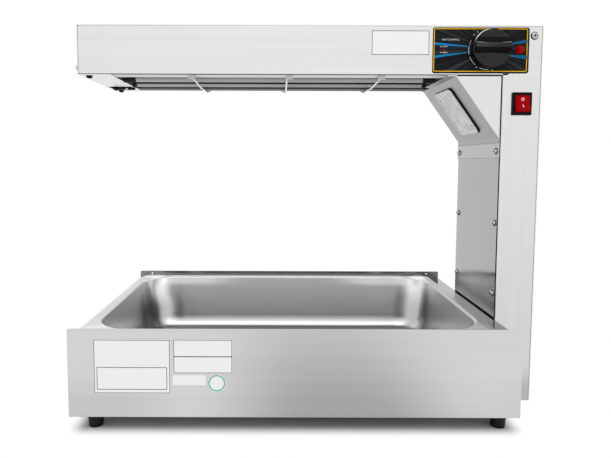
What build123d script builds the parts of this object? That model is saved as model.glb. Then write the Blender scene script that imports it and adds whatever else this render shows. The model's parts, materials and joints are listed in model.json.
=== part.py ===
from build123d import *
import os
from math import asin, atan2, cos, degrees, hypot, radians, sin, sqrt

# Infrared food warmer: an open base holds a lift-out pan, and a hollow column on the right
# carries a canopy with two heating tubes above it.
# Millimetres. +Z is up, the front faces -Y, and the origin is on the table under the middle.

os.makedirs("parts", exist_ok=True)

# Sheet metal
sheet = 1.2
bend_radius = 2.0
edge_round = 1.0
corner_round = 2.5

# Base
base_width = 570.0
base_depth = 330.0
foot_height = 18.5
panel_height = 114.5
lip_height = 12.5
upstand_height = 14.5
upstand_inset = 4.0
floor_flange = 34.0
end_flange = 14.0
flange_gap = 0.3
end_flange_relief = 4.0

# Column and canopy
column_width = 53.0
column_depth = 162.0
column_floor_gap = 2.0
canopy_overhang = 11.0
head_room = 339.5
canopy_height = 66.5
cover_flange = 14.0
canopy_flange = 25.0
end_bay = 46.0
end_slot_width = 36.0
end_slot_depth = 30.0
end_slot_place = 43.0
fit_gap = 0.3

# Lift-out pan
pan_side_margin = 20.0
pan_end_clearance = 1.3
pan_flange = 11.0
pan_corner = 55.0
pan_rim_corner = 24.0
pan_depth = 100.0
pan_draft = 5.0
pan_floor_radius = 28.0
pan_sheet = 0.9
pan_lip_radius = 4.0
pan_edge_radius = 0.8
pan_shift = -7.5
pan_rim_height = 8.2
pan_seat_gap = 0.3
well_clearance = 2.2

# Feet
foot_collar_diameter = 23.0
foot_collar_height = 3.2
foot_top_diameter = 20.5
foot_bottom_diameter = 17.5
foot_edge_radius = 1.2
foot_inset_left = 28.0
foot_inset_right = 20.5
foot_inset_y = 18.0
foot_recess_diameter = 11.0
foot_recess_depth = 8.0

# Fasteners
hole_clearance = 0.15
screw_dome = 0.7
screw_head = 8.0
screw_head_height = 3.0
top_head_height = 1.9
screw_shank = 3.9
screw_length = 8.0
screw_line_inset = 9.0
end_screw_inset = 4.5
end_floor_screw_place = 13.0
cover_screw_head = 9.0
cover_screw_head_height = 2.4
cover_screw_shank = 4.8
cover_screw_inset_x = 12.0
cover_screw_inset_z = 13.5
foot_screw_head = 9.5
foot_screw_head_height = 3.5
foot_screw_shank = 5.0
foot_screw_reach = 6.0
nut_height = 4.0
nut_across_flats = 8.0
bolt_head = 10.0
bolt_head_height = 4.0
bolt_shank = 6.0
bolt_nut_height = 5.0
bolt_end_reach = 2.0
bolt_low_rise = 25.0
bolt_high_drop = 30.0

# Column inside
spine_sheet = 2.0
spine_flange = 10.0
spine_floor_rise = 5.0
spine_tab_width = 46.0
spine_tab_height = 18.0
spine_top_gap = 3.0
inner_panel_gap = 2.5
inner_panel_side_gap = 1.5
inner_screw_rise = 35.0

# Work light in the sloped housing
lamp_reach = 63.0
lamp_drop = 85.0
lamp_flange = 28.0
lamp_screw_drop = 18.0
lamp_top_flange = 12.0
lamp_flange_cut = 48.0
lamp_side_recess = 0.8
cheek_gap = 1.8
lamp_panel_lap = 4.0
lens_share = 0.51
lens_opening_length = 80.0
lens_opening_width = 72.0
lens_corner = 8.0
lens_lap = 3.0
lens_thickness = 3.0
lens_pad_gap = 0.6
lens_pad_recess = 0.6
retainer_wall = 2.7
retainer_back = 1.2
retainer_lap = 4.0
retainer_gap = 0.1
lamp_setback = 22.0
bulb_diameter = 22.0
bulb_length = 50.0
holder_diameter = 27.0
holder_length = 30.0
holder_step = 2.5
bulb_neck = 14.0
bracket_sheet = 1.5
bracket_height = 28.0
bracket_foot = 17.0
bracket_edge_gap = 5.0

# Heating tubes, reflector and guard wires
element_diameter = 7.5
element_spacing = 48.0
element_rise = 2.0
element_end_gap = 3.0
element_pin_diameter = 3.0
element_pin_length = 12.0
insulator_diameter = 9.2
insulator_length = 18.0
rear_insulator_length = 6.0
insulator_bore_gap = 0.1
reflector_sheet = 0.8
reflector_height = 38.0
reflector_edge = 8.0
reflector_slant = 20.0
reflector_flange = 20.0
reflector_bay_gap = 0.6
reflector_lamp_gap = 13.2
reflector_end_sheet = 1.0
reflector_end_margin = 4.0
guard_wire_diameter = 2.5
guard_first = 110.0
guard_pitch = 129.5
guard_hang = 4.0
guard_dip = 3.0
guard_tail = 8.0
guard_bend = 4.0
guard_hole_gap = 0.2
guard_inset = 6.0

# Controls
control_rise = 34.0
plate_width = 131.0
plate_height = 61.3
plate_rise = 2.5
plate_thickness = 0.6
plate_corner = 3.0
plate_right_inset = 19.0
knob_inset = 55.5
indicator_inset = 13.0
knob_diameter = 51.0
knob_disc_height = 13.5
knob_bar_height = 6.0
knob_bar_width = 15.0
knob_bar_waist = 11.5
knob_edge_radius = 1.5
knob_gap = 0.8
knob_recess_diameter = 22.0
knob_recess_depth = 4.0
shaft_diameter = 6.0
shaft_flat = 1.5
shaft_running_gap = 0.08
shaft_seat_gap = 0.05
shaft_cover = 2.0
shaft_tail = 20.0
regulator_size = 42.0
regulator_depth = 30.0
regulator_corner = 2.0
bush_diameter = 10.0
bush_reach = 3.0
bush_nut_height = 2.5
bush_nut_flats = 14.0
indicator_diameter = 9.0
indicator_flange_diameter = 11.5
indicator_flange_height = 1.2
indicator_dome_radius = 4.6
indicator_dome_height = 4.4
indicator_dome_round = 3.8
indicator_length = 24.0
indicator_collar_diameter = 13.0
indicator_collar_height = 2.8

# Rocker switch
switch_drop = 38.5
bezel_width = 26.8
bezel_height = 31.0
bezel_thickness = 2.0
bezel_corner = 1.5
switch_body_width = 23.6
switch_body_height = 27.6
switch_body_depth = 22.0
rocker_width = 18.6
rocker_radius = 11.6
rocker_gap = 0.4
rocker_pivot_depth = 2.2
rocker_proud = 1.8
rocker_back = 5.0
rocker_throw = 32.0
rocker_pin_diameter = 3.0
rocker_pin_reach = 1.6
rocker_pin_gap = 0.07
rocker_cavity_depth = 13.0
blade_width = 6.3
blade_thickness = 0.8
blade_length = 8.0
blade_spacing_x = 12.0
blade_spacing_z = 12.0

# Cord inlet and wiring block
gland_rise = 60.0
gland_bore = 8.4
gland_thread = 15.8
gland_hex_flats = 22.0
gland_hex_height = 5.0
gland_cap_diameter = 19.5
gland_cap_length = 13.0
gland_cap_taper = 3.0
gland_thread_reach = 21.0
gland_nut_height = 4.8
terminal_rise = 100.0
terminal_length = 44.0
terminal_height = 24.0
terminal_depth = 16.0
terminal_way_count = 4
terminal_way_diameter = 5.0
terminal_way_depth = 9.0

# Places worked out from the sizes above
deck_top = foot_height + panel_height - lip_height
canopy_bottom = deck_top + head_room
canopy_top = canopy_bottom + canopy_height
overall_width = canopy_overhang + base_width + column_width
left_end = -overall_width / 2
right_end = overall_width / 2
base_left = left_end + canopy_overhang
base_right = base_left + base_width
base_middle = (base_left + base_right) / 2
base_front = -base_depth / 2
column_front = -column_depth / 2
column_rear = column_depth / 2
column_middle = (base_right + right_end) / 2
cover_inside = column_depth / 2 - sheet
screw_line = column_depth / 2 - screw_line_inset
panel_face = base_right - sheet
lamp_face = panel_face - sheet
lamp_bend = canopy_bottom - lamp_drop
lamp_top_x = base_right - lamp_reach
reflector_left = left_end + end_bay + reflector_bay_gap
reflector_right = lamp_top_x - reflector_lamp_gap
plate_right = right_end - plate_right_inset
plate_face = column_front - plate_thickness
control_z = canopy_bottom + control_rise
knob_x = plate_right - knob_inset
indicator_x = plate_right - indicator_inset
switch_z = canopy_bottom - switch_drop
bezel_face = column_front - bezel_thickness
rocker_axis_y = bezel_face + rocker_pivot_depth
web_left = base_right + sheet
web_right = web_left + spine_sheet
element_z = canopy_bottom + element_rise
guard_y = column_depth / 2 - canopy_flange + guard_inset
pan_length = base_width - 2 * pan_side_margin
pan_breadth = base_depth - 2 * (sheet + pan_end_clearance)
pan_opening_length = pan_length - 2 * pan_flange
pan_opening_breadth = pan_breadth - 2 * pan_flange
pan_middle = base_middle + pan_shift
pan_top = deck_top + pan_rim_height


# Shared forms
def bent_sheet(plane, points, side, thickness=sheet, radius=bend_radius):
    """Cross-section of a bent sheet: the points follow one face, and the metal lies on one side."""
    with BuildSketch(plane) as profile:
        with BuildLine():
            FilletPolyline(*points, radius=radius)
            offset(amount=thickness, side=side)
        make_face()
    return profile.sketch


def drills(planes, diameter, depth):
    """Round cutters that start on each plane and run against its normal."""
    with BuildPart() as cutters:
        for plane in planes:
            with BuildSketch(plane):
                Circle(diameter / 2 + hole_clearance)
            extrude(amount=-depth)
    return cutters.part


def domed_screws(planes, head, head_height, shank, length):
    """Screws whose heads sit on the planes, pointing along the normals."""
    with BuildPart() as one:
        Cylinder(head / 2, head_height, align=(Align.CENTER, Align.CENTER, Align.MIN))
        fillet(one.edges().sort_by(Axis.Z)[-1], radius=head_height * screw_dome)
        with BuildSketch(Plane.XY):
            Circle(shank / 2)
        extrude(amount=-length)
    with BuildPart() as screws:
        with Locations(*planes):
            add(one.part)
    return screws.part


def hex_block(planes, across_flats, height, bore):
    """Hexagon nuts that stand on the planes, with a round bore."""
    with BuildPart() as nuts:
        for plane in planes:
            with BuildSketch(plane):
                RegularPolygon(across_flats / 2, 6, major_radius=False)
                Circle(bore / 2, mode=Mode.SUBTRACT)
            extrude(amount=height)
    return nuts.part


def hex_bolts(planes, head, head_height, shank, length):
    """Hexagon bolts whose heads sit on the planes."""
    with BuildPart() as bolts:
        for plane in planes:
            with BuildSketch(plane):
                RegularPolygon(head / 2, 6, major_radius=False)
            extrude(amount=head_height)
            with BuildSketch(plane):
                Circle(shank / 2)
            extrude(amount=-length)
    return bolts.part


def at(x, y, z, normal):
    """Plane through a point, facing along the normal."""
    return Plane(origin=(x, y, z), z_dir=normal)


def facing_front(x, y, z):
    """Plane through a point, facing the front, with its own y upwards."""
    return Plane(origin=(x, y, z), x_dir=(1, 0, 0), z_dir=(0, -1, 0))


# Screw places, shared by the screws and the holes that they pass through
inner_rows = [deck_top + inner_screw_rise, (deck_top + inner_screw_rise + lamp_bend - lamp_screw_drop) / 2]
panel_screws = [at(panel_face, y, z, (-1, 0, 0)) for z in inner_rows for y in (-screw_line, screw_line)]
lamp_screws = [at(lamp_face, y, lamp_bend - lamp_screw_drop, (-1, 0, 0)) for y in (-screw_line, screw_line)]
end_line = column_depth / 2 - end_screw_inset
end_screws = [at(left_end, y, canopy_bottom + screw_line_inset, (-1, 0, 0)) for y in (-end_line, end_line)]
end_floor_screws = [at(left_end + end_floor_screw_place, y, canopy_bottom - sheet, (0, 0, -1))
                    for y in (-screw_line, screw_line)]
side_rows = [column_floor_gap + 2 * screw_line_inset, canopy_bottom / 2, canopy_top - 2 * screw_line_inset]
side_screws = [at(right_end, y, z, (1, 0, 0)) for z in side_rows for y in (-screw_line, screw_line)]
top_places = [left_end + end_bay, 0, right_end - end_bay]
top_screws = [at(x, y, canopy_top, (0, 0, 1)) for x in top_places for y in (-screw_line, screw_line)]
cover_screw_x = right_end - cover_screw_inset_x
cover_screw_z = canopy_top - cover_screw_inset_z
front_cover_screw = at(cover_screw_x, column_front, cover_screw_z, (0, -1, 0))
rear_cover_screw = at(cover_screw_x, column_rear, cover_screw_z, (0, 1, 0))
foot_places = {
    "front_left": (base_left + foot_inset_left, base_front + foot_inset_y),
    "front_right": (base_right - foot_inset_right, base_front + foot_inset_y),
    "rear_left": (base_left + foot_inset_left, -base_front - foot_inset_y),
    "rear_right": (base_right - foot_inset_right, -base_front - foot_inset_y),
}
foot_nuts = [at(x, y, foot_height + sheet, (0, 0, 1)) for x, y in foot_places.values()]
bolt_rows = [foot_height + bolt_low_rise, deck_top - bolt_high_drop]
bolt_places = [(y, z) for z in bolt_rows for y in (-screw_line, screw_line)]
column_bolt_planes = [at(base_right - sheet, y, z, (-1, 0, 0)) for y, z in bolt_places]
column_nut_planes = [at(web_right, y, z, (1, 0, 0)) for y, z in bolt_places]

# Base: deck and both sides are one folded sheet, with the well for the pan cut in the deck
with BuildPart() as deck_shell:
    extrude(bent_sheet(Plane.XZ, [(base_left + floor_flange, foot_height), (base_left, foot_height),
                                  (base_left, deck_top), (base_right, deck_top),
                                  (base_right, foot_height), (base_right - floor_flange, foot_height)],
                       Side.RIGHT), amount=base_depth / 2 - sheet, both=True)
    with BuildSketch(Plane.XY.offset(deck_top)):
        with Locations((pan_middle, 0)):
            RectangleRounded(pan_opening_length + 2 * (pan_sheet + well_clearance),
                             pan_opening_breadth + 2 * (pan_sheet + well_clearance),
                             pan_corner + pan_sheet + well_clearance)
    extrude(amount=-sheet, mode=Mode.SUBTRACT)
    with BuildSketch(Plane.XY.offset(foot_height)):
        for y in (base_front, -base_front):
            with Locations((base_middle, y)):
                Rectangle(base_width, 2 * (floor_flange + flange_gap))
    extrude(amount=bend_radius, mode=Mode.SUBTRACT)
    add(drills(column_bolt_planes, bolt_shank, sheet), mode=Mode.SUBTRACT)
deck_shell.part.label = "deck_shell"
export_step(deck_shell.part, "parts/deck_shell.step")


def end_panel(top):
    """Front panel of the base, up to a given height, with its floor flange and welded end flanges."""
    with BuildPart() as panel:
        extrude(bent_sheet(Plane.YZ.offset(base_middle), [(base_front + floor_flange, foot_height),
                                                          (base_front, foot_height), (base_front, top)],
                           Side.RIGHT), amount=base_width / 2, both=True)
        top_corners = panel.edges().filter_by(Axis.Y).group_by(Axis.Z)[-1]
        fillet(top_corners, radius=corner_round)
        flange_low = foot_height + bend_radius
        flange_high = deck_top - sheet - end_flange_relief
        with BuildSketch(Plane.YZ.offset(base_left + sheet)):
            with Locations((base_front + end_flange / 2, (flange_low + flange_high) / 2)):
                Rectangle(end_flange, flange_high - flange_low)
        extrude(amount=sheet)
        with BuildSketch(Plane.YZ.offset(base_right - sheet)):
            with Locations((base_front + end_flange / 2, (flange_low + flange_high) / 2)):
                Rectangle(end_flange, flange_high - flange_low)
        extrude(amount=-sheet)
        add(drills(foot_nuts, foot_screw_shank, sheet), mode=Mode.SUBTRACT)
    return panel.part


with BuildPart() as front_panel:
    add(end_panel(foot_height + panel_height))
front_panel.part.label = "front_panel"
export_step(front_panel.part, "parts/front_panel.step")

# The rear panel stands a little higher than the pan's rim, as a stop behind it
with BuildPart() as rear_panel:
    add(mirror(end_panel(deck_top + upstand_height), about=Plane.XZ, mode=Mode.PRIVATE))
    with BuildSketch(Plane.XZ.offset(base_front)):
        for end_x in (base_left, base_right):
            with Locations((end_x, deck_top + upstand_height / 2)):
                Rectangle(2 * upstand_inset, upstand_height)
    extrude(amount=sheet, mode=Mode.SUBTRACT)
    upstand_corners = rear_panel.edges().filter_by(Axis.Y).group_by(Axis.Z)[-1]
    fillet(upstand_corners, radius=corner_round)
rear_panel.part.label = "rear_panel"
export_step(rear_panel.part, "parts/rear_panel.step")


# Lift-out pan, drawn from one sheet with a rolled rim
def pan_bowl(length, breadth, corner, depth, floor_radius):
    """Tapered bowl with rounded corners and floor edge, its mouth level with the rim."""
    with BuildPart() as bowl:
        with BuildSketch(Plane(origin=(pan_middle, 0, pan_top), x_dir=(1, 0, 0), z_dir=(0, 0, -1))):
            RectangleRounded(length, breadth, corner)
        extrude(amount=depth, taper=pan_draft)
        fillet(bowl.faces().sort_by(Axis.Z)[0].edges(), radius=floor_radius)
    return bowl.part


with BuildPart() as food_pan:
    skirt_height = pan_rim_height - pan_seat_gap
    add(pan_bowl(pan_opening_length + 2 * pan_sheet, pan_opening_breadth + 2 * pan_sheet,
                 pan_corner + pan_sheet, pan_depth, pan_floor_radius + pan_sheet))
    with BuildSketch(Plane.XY.offset(pan_top)):
        with Locations((pan_middle, 0)):
            RectangleRounded(pan_length, pan_breadth, pan_rim_corner)
    extrude(amount=-skirt_height)
    with BuildSketch(Plane.XY.offset(pan_top - skirt_height)):
        with Locations((pan_middle, 0)):
            RectangleRounded(pan_length - 2 * pan_sheet, pan_breadth - 2 * pan_sheet, pan_rim_corner - pan_sheet)
            RectangleRounded(pan_opening_length + 2 * pan_sheet, pan_opening_breadth + 2 * pan_sheet,
                             pan_corner + pan_sheet, mode=Mode.SUBTRACT)
    extrude(amount=skirt_height - pan_sheet, mode=Mode.SUBTRACT)
    rim_under = food_pan.faces().filter_by(Plane.XY).sort_by(Axis.Z)[-2]
    fillet(rim_under.inner_wires()[0].edges(), radius=pan_lip_radius - pan_sheet)
    add(pan_bowl(pan_opening_length, pan_opening_breadth, pan_corner, pan_depth - pan_sheet, pan_floor_radius),
        mode=Mode.SUBTRACT)
    fillet(food_pan.faces().filter_by(Plane.XY).sort_by(Axis.Z)[-1].inner_wires()[0].edges(),
           radius=pan_lip_radius)
    fillet(food_pan.faces().filter_by(Plane.XY).sort_by(Axis.Z)[-1].outer_wire().edges(),
           radius=pan_edge_radius)
food_pan.part.label = "food_pan"
export_step(food_pan.part, "parts/food_pan.step")

# Rubber feet, each on a screw whose head is sunk in the foot
with BuildPart() as rubber_foot:
    collar_low = foot_height - foot_collar_height
    with BuildSketch(Plane.XZ):
        with BuildLine():
            Polyline((foot_screw_shank / 2 + hole_clearance, foot_height),
                     (foot_collar_diameter / 2, foot_height), (foot_collar_diameter / 2, collar_low),
                     (foot_top_diameter / 2, collar_low), (foot_bottom_diameter / 2, 0),
                     (foot_recess_diameter / 2, 0),
                     (foot_recess_diameter / 2, foot_recess_depth),
                     (foot_screw_shank / 2 + hole_clearance, foot_recess_depth), close=True)
        make_face()
    revolve(axis=Axis.Z)
    fillet(rubber_foot.edges().filter_by(GeomType.CIRCLE).group_by(Axis.Z)[0].sort_by(SortBy.RADIUS)[-1],
           radius=foot_edge_radius)
for corner, (foot_x, foot_y) in foot_places.items():
    with BuildPart() as foot:
        with Locations((foot_x, foot_y, 0)):
            add(rubber_foot.part)
    foot.part.label = f"foot_{corner}"
    export_step(foot.part, f"parts/foot_{corner}.step")

with BuildPart() as foot_screws:
    heads = [at(x, y, foot_recess_depth, (0, 0, -1)) for x, y in foot_places.values()]
    shank_length = foot_height + sheet + foot_screw_reach - foot_recess_depth
    add(domed_screws(heads, foot_screw_head, foot_screw_head_height, foot_screw_shank, shank_length))
    add(hex_block(foot_nuts, nut_across_flats, nut_height, foot_screw_shank + 2 * hole_clearance))
foot_screws.part.label = "foot_screws"
export_step(foot_screws.part, "parts/foot_screws.step")


# Column and canopy covers: front and rear are L-shaped trays with every edge turned in
def cover_tray():
    """Front cover before its control holes are cut."""
    skin_left = left_end + sheet
    skin_right = right_end - sheet
    skin_top = canopy_top - sheet
    with BuildSketch(Plane.XZ.offset(-column_front)) as outline:
        with BuildLine():
            Polyline((skin_left, canopy_bottom), (skin_left, skin_top), (skin_right, skin_top),
                     (skin_right, column_floor_gap), (base_right, column_floor_gap),
                     (base_right, canopy_bottom), close=True)
        make_face()
        fillet(outline.vertices().group_by(Axis.X)[0], radius=bend_radius)
    with BuildSketch(Plane.XZ.offset(-column_front - sheet)) as hollow:
        add(outline.sketch_local)
        offset(amount=-sheet, kind=Kind.INTERSECTION, mode=Mode.REPLACE)
    with BuildPart() as tray:
        extrude(outline.sketch, amount=-cover_flange)
        fillet(tray.faces().sort_by(Axis.Y)[0].edges(), radius=edge_round)
        extrude(hollow.sketch, amount=-cover_flange, mode=Mode.SUBTRACT)
        with BuildSketch(Plane.XY.offset(canopy_bottom)):
            flange_left = skin_left + bend_radius
            with Locations(((flange_left + base_right) / 2, column_front + (cover_flange + canopy_flange) / 2)):
                Rectangle(base_right - flange_left, canopy_flange - cover_flange)
        extrude(amount=sheet)
        add(drills(panel_screws + lamp_screws, screw_shank, 3 * sheet), mode=Mode.SUBTRACT)
        add(drills(end_screws + end_floor_screws + side_screws + top_screws, screw_shank, 2 * sheet),
            mode=Mode.SUBTRACT)
        add(drills([front_cover_screw], cover_screw_shank, sheet), mode=Mode.SUBTRACT)
        add(drills(column_bolt_planes, bolt_shank, 2 * sheet), mode=Mode.SUBTRACT)
        add(drills(guard_holes, guard_hole_diameter, sheet), mode=Mode.SUBTRACT)
    return tray.part


guard_hole_diameter = guard_wire_diameter + 2 * guard_hole_gap
guard_places = [reflector_left + guard_first + place * guard_pitch for place in range(3)]
guard_holes = [at(x, y, canopy_bottom + sheet, (0, 0, 1)) for x in guard_places for y in (-guard_y, guard_y)]
cover_blank = cover_tray()

with BuildPart() as front_cover:
    add(cover_blank)
    with BuildSketch(Plane.XZ.offset(-column_front)):
        with Locations((column_middle, switch_z)):
            Rectangle(switch_body_width + 2 * fit_gap, switch_body_height + 2 * fit_gap)
        with Locations((knob_x, control_z)):
            Circle(bush_diameter / 2 + fit_gap)
        with Locations((indicator_x, control_z)):
            Circle(indicator_diameter / 2 + fit_gap)
    extrude(amount=-sheet, mode=Mode.SUBTRACT)
front_cover.part.label = "front_cover"
export_step(front_cover.part, "parts/front_cover.step")

with BuildPart() as rear_cover:
    add(mirror(cover_blank, about=Plane.XZ, mode=Mode.PRIVATE))
    with BuildSketch(Plane.XZ.offset(-column_rear)):
        with Locations((column_middle, gland_rise)):
            Circle(gland_thread / 2 + fit_gap)
    extrude(amount=sheet, mode=Mode.SUBTRACT)
rear_cover.part.label = "rear_cover"
export_step(rear_cover.part, "parts/rear_cover.step")

# Outer skins on the turned edges: top, right side and left end
with BuildPart() as top_cover:
    with BuildSketch(Plane.XY.offset(canopy_top)) as top_outline:
        Rectangle(overall_width, column_depth)
        fillet(top_outline.vertices(), radius=edge_round)
    extrude(amount=-sheet)
    add(drills(top_screws, screw_shank, sheet), mode=Mode.SUBTRACT)
top_cover.part.label = "top_cover"
export_step(top_cover.part, "parts/top_cover.step")

with BuildPart() as right_side_cover:
    with BuildSketch(Plane.YZ.offset(right_end)):
        with Locations((0, (column_floor_gap + canopy_top - sheet) / 2)):
            Rectangle(column_depth, canopy_top - sheet - column_floor_gap)
    extrude(amount=-sheet)
    add(drills(side_screws, screw_shank, sheet), mode=Mode.SUBTRACT)
right_side_cover.part.label = "right_side_cover"
export_step(right_side_cover.part, "parts/right_side_cover.step")

with BuildPart() as left_end_cap:
    extrude(bent_sheet(Plane.XZ, [(left_end, canopy_top - sheet), (left_end, canopy_bottom - sheet),
                                  (left_end + end_bay, canopy_bottom - sheet)], Side.LEFT),
            amount=column_depth / 2, both=True)
    add(drills(end_screws + end_floor_screws, screw_shank, sheet), mode=Mode.SUBTRACT)
    with BuildSketch(Plane.XY.offset(canopy_bottom - sheet)):
        with Locations((left_end + end_bay / 2, end_slot_place)):
            Rectangle(end_slot_width, end_slot_depth)
    extrude(amount=sheet, mode=Mode.SUBTRACT)
left_end_cap.part.label = "left_end_cap"
export_step(left_end_cap.part, "parts/left_end_cap.step")

with BuildPart() as column_foot_plate:
    floor_left = base_right + sheet + fit_gap
    floor_right = right_end - 2 * sheet - fit_gap
    with BuildSketch(Plane.XY.offset(column_floor_gap + sheet)):
        with Locations(((floor_left + floor_right) / 2, 0)):
            Rectangle(floor_right - floor_left, 2 * (cover_inside - fit_gap))
    extrude(amount=sheet)
column_foot_plate.part.label = "column_foot_plate"
export_step(column_foot_plate.part, "parts/column_foot_plate.step")

# Spine: the channel inside the column that bolts to the base and carries the covers
with BuildPart() as column_spine:
    spine_low = foot_height + spine_floor_rise
    spine_high = canopy_top - 2 * sheet - spine_top_gap
    with BuildSketch(Plane.XY.offset(spine_low)):
        with BuildLine():
            Polyline((web_left + spine_flange, -cover_inside), (web_left, -cover_inside),
                     (web_left, cover_inside), (web_left + spine_flange, cover_inside))
            offset(amount=spine_sheet, side=Side.RIGHT)
        make_face()
    extrude(amount=spine_high - spine_low)
    for tab_y in (-cover_inside + spine_sheet / 2, cover_inside - spine_sheet / 2):
        with BuildSketch(Plane.XY.offset(spine_high)):
            with Locations((web_left + spine_tab_width / 2, tab_y)):
                Rectangle(spine_tab_width, spine_sheet)
        extrude(amount=-spine_tab_height)
    add(drills(panel_screws + lamp_screws, screw_shank, 4 * sheet + spine_sheet), mode=Mode.SUBTRACT)
    add(drills(column_bolt_planes, bolt_shank, 2 * sheet + spine_sheet), mode=Mode.SUBTRACT)
    add(drills([front_cover_screw, rear_cover_screw], cover_screw_shank, sheet + spine_sheet),
        mode=Mode.SUBTRACT)
column_spine.part.label = "column_spine"
export_step(column_spine.part, "parts/column_spine.step")

with BuildPart() as column_bolts:
    bolt_length = 2 * sheet + spine_sheet + bolt_nut_height + bolt_end_reach
    add(hex_bolts(column_bolt_planes, bolt_head, bolt_head_height, bolt_shank, bolt_length))
    add(hex_block(column_nut_planes, bolt_head, bolt_nut_height, bolt_shank + 2 * hole_clearance))
column_bolts.part.label = "column_bolts"
export_step(column_bolts.part, "parts/column_bolts.step")

# Polished panel on the column's inner side, above the deck
with BuildPart() as column_inner_panel:
    panel_low = deck_top + inner_panel_gap
    panel_high = lamp_bend - lamp_panel_lap
    with BuildSketch(Plane.YZ.offset(panel_face)):
        with Locations((0, (panel_low + panel_high) / 2)):
            Rectangle(column_depth - 2 * inner_panel_side_gap, panel_high - panel_low)
    extrude(amount=sheet)
    add(drills(panel_screws + lamp_screws, screw_shank, 3 * sheet), mode=Mode.SUBTRACT)
column_inner_panel.part.label = "column_inner_panel"
export_step(column_inner_panel.part, "parts/column_inner_panel.step")

# Sloped light housing under the canopy: a folded panel with two triangular cheeks
slope_x = lamp_top_x - lamp_face
slope_z = canopy_bottom - sheet - lamp_bend
slope_length = hypot(slope_x, slope_z)
inward_x = slope_z / slope_length
inward_z = -slope_x / slope_length
lens_x = lamp_face + slope_x * lens_share
lens_z = lamp_bend + slope_z * lens_share
lens_plane = Plane(origin=(lens_x, 0, lens_z), x_dir=(0, 1, 0), z_dir=(-inward_x, 0, -inward_z))
lamp_x = lens_x + inward_x * lamp_setback
lamp_z = lens_z + inward_z * lamp_setback
lens_width = lens_opening_width + 2 * lens_lap
lens_length = lens_opening_length + 2 * lens_lap

with BuildPart() as lamp_housing:
    housing_half = column_depth / 2 - lamp_side_recess
    extrude(bent_sheet(Plane.XZ, [(lamp_face, lamp_bend - lamp_flange), (lamp_face, lamp_bend),
                                  (lamp_top_x, canopy_bottom - sheet),
                                  (lamp_top_x - lamp_top_flange, canopy_bottom - sheet)], Side.RIGHT),
            amount=housing_half, both=True)
    for cheek_y in (housing_half, -housing_half + sheet):
        with BuildSketch(Plane.XZ.offset(cheek_y)):
            with BuildLine():
                Polyline((lamp_top_x, canopy_bottom - sheet), (base_right - cheek_gap, canopy_bottom - sheet),
                         (base_right - cheek_gap, lamp_bend), (lamp_face, lamp_bend), close=True)
            make_face()
        extrude(amount=-sheet)
    with BuildSketch(Plane.XY.offset(canopy_bottom - sheet)):
        with Locations((lamp_top_x - lamp_top_flange, housing_half)):
            Rectangle(lamp_top_flange - 2 * sheet, lamp_flange_cut, align=(Align.MIN, Align.MAX))
    extrude(amount=sheet, mode=Mode.SUBTRACT)
    with BuildSketch(lens_plane):
        RectangleRounded(lens_opening_width, lens_opening_length, lens_corner)
    extrude(amount=-2 * sheet, mode=Mode.SUBTRACT)
    add(drills(lamp_screws, screw_shank, sheet), mode=Mode.SUBTRACT)
lamp_housing.part.label = "lamp_housing"
export_step(lamp_housing.part, "parts/lamp_housing.step")

with BuildPart() as lamp_lens:
    with BuildSketch(lens_plane.offset(-sheet)):
        RectangleRounded(lens_width, lens_length, lens_corner + lens_lap)
    extrude(amount=-lens_thickness)
    with BuildSketch(lens_plane.offset(-sheet)):
        RectangleRounded(lens_opening_width - 2 * lens_pad_gap, lens_opening_length - 2 * lens_pad_gap,
                         lens_corner - lens_pad_gap)
    extrude(amount=sheet - lens_pad_recess)
lamp_lens.part.label = "lamp_lens"
export_step(lamp_lens.part, "parts/lamp_lens.step")

with BuildPart() as lens_retainer:
    pocket_depth = lens_thickness + retainer_gap
    with BuildSketch(lens_plane.offset(-sheet)):
        RectangleRounded(lens_width + 2 * retainer_wall, lens_length + 2 * retainer_wall,
                         lens_corner + lens_lap + retainer_wall)
    extrude(amount=-pocket_depth - retainer_back)
    with BuildSketch(lens_plane.offset(-sheet)):
        RectangleRounded(lens_width + 2 * fit_gap, lens_length + 2 * fit_gap, lens_corner + lens_lap + fit_gap)
    extrude(amount=-pocket_depth, mode=Mode.SUBTRACT)
    with BuildSketch(lens_plane.offset(-sheet)):
        RectangleRounded(lens_width - 2 * retainer_lap, lens_length - 2 * retainer_lap, lens_corner)
    extrude(amount=-pocket_depth - retainer_back, mode=Mode.SUBTRACT)
lens_retainer.part.label = "lens_retainer"
export_step(lens_retainer.part, "parts/lens_retainer.step")

# Lamp across the housing, in a holder on a bracket from the spine
lamp_axis = Axis((lamp_x, 0, lamp_z), (0, 1, 0))
lamp_section = Plane(origin=(lamp_x, 0, lamp_z))
bracket_rear = column_depth / 2 - cover_flange - bracket_edge_gap
holder_rear = bracket_rear - bracket_foot
holder_front = holder_rear - holder_length
bulb_front = holder_front - bulb_length

with BuildPart() as lamp_bulb:
    bulb_radius = bulb_diameter / 2
    nose = bulb_front + bulb_radius
    with BuildSketch(lamp_section):
        with BuildLine():
            Polyline((0, bulb_front), (0, holder_front), (bulb_neck / 2, holder_front),
                     (bulb_radius, holder_front - bulb_radius), (bulb_radius, nose))
            CenterArc((0, nose), bulb_radius, -90, 90)
        make_face()
    revolve(axis=lamp_axis)
lamp_bulb.part.label = "lamp_bulb"
export_step(lamp_bulb.part, "parts/lamp_bulb.step")

with BuildPart() as lamp_holder:
    with BuildSketch(lamp_section):
        with BuildLine():
            Polyline((0, holder_front), (0, holder_rear), (holder_diameter / 2 - holder_step, holder_rear),
                     (holder_diameter / 2 - holder_step, holder_front + holder_length / 2),
                     (holder_diameter / 2, holder_front + holder_length / 2),
                     (holder_diameter / 2, holder_front), close=True)
        make_face()
    revolve(axis=lamp_axis)
lamp_holder.part.label = "lamp_holder"
export_step(lamp_holder.part, "parts/lamp_holder.step")

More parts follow.
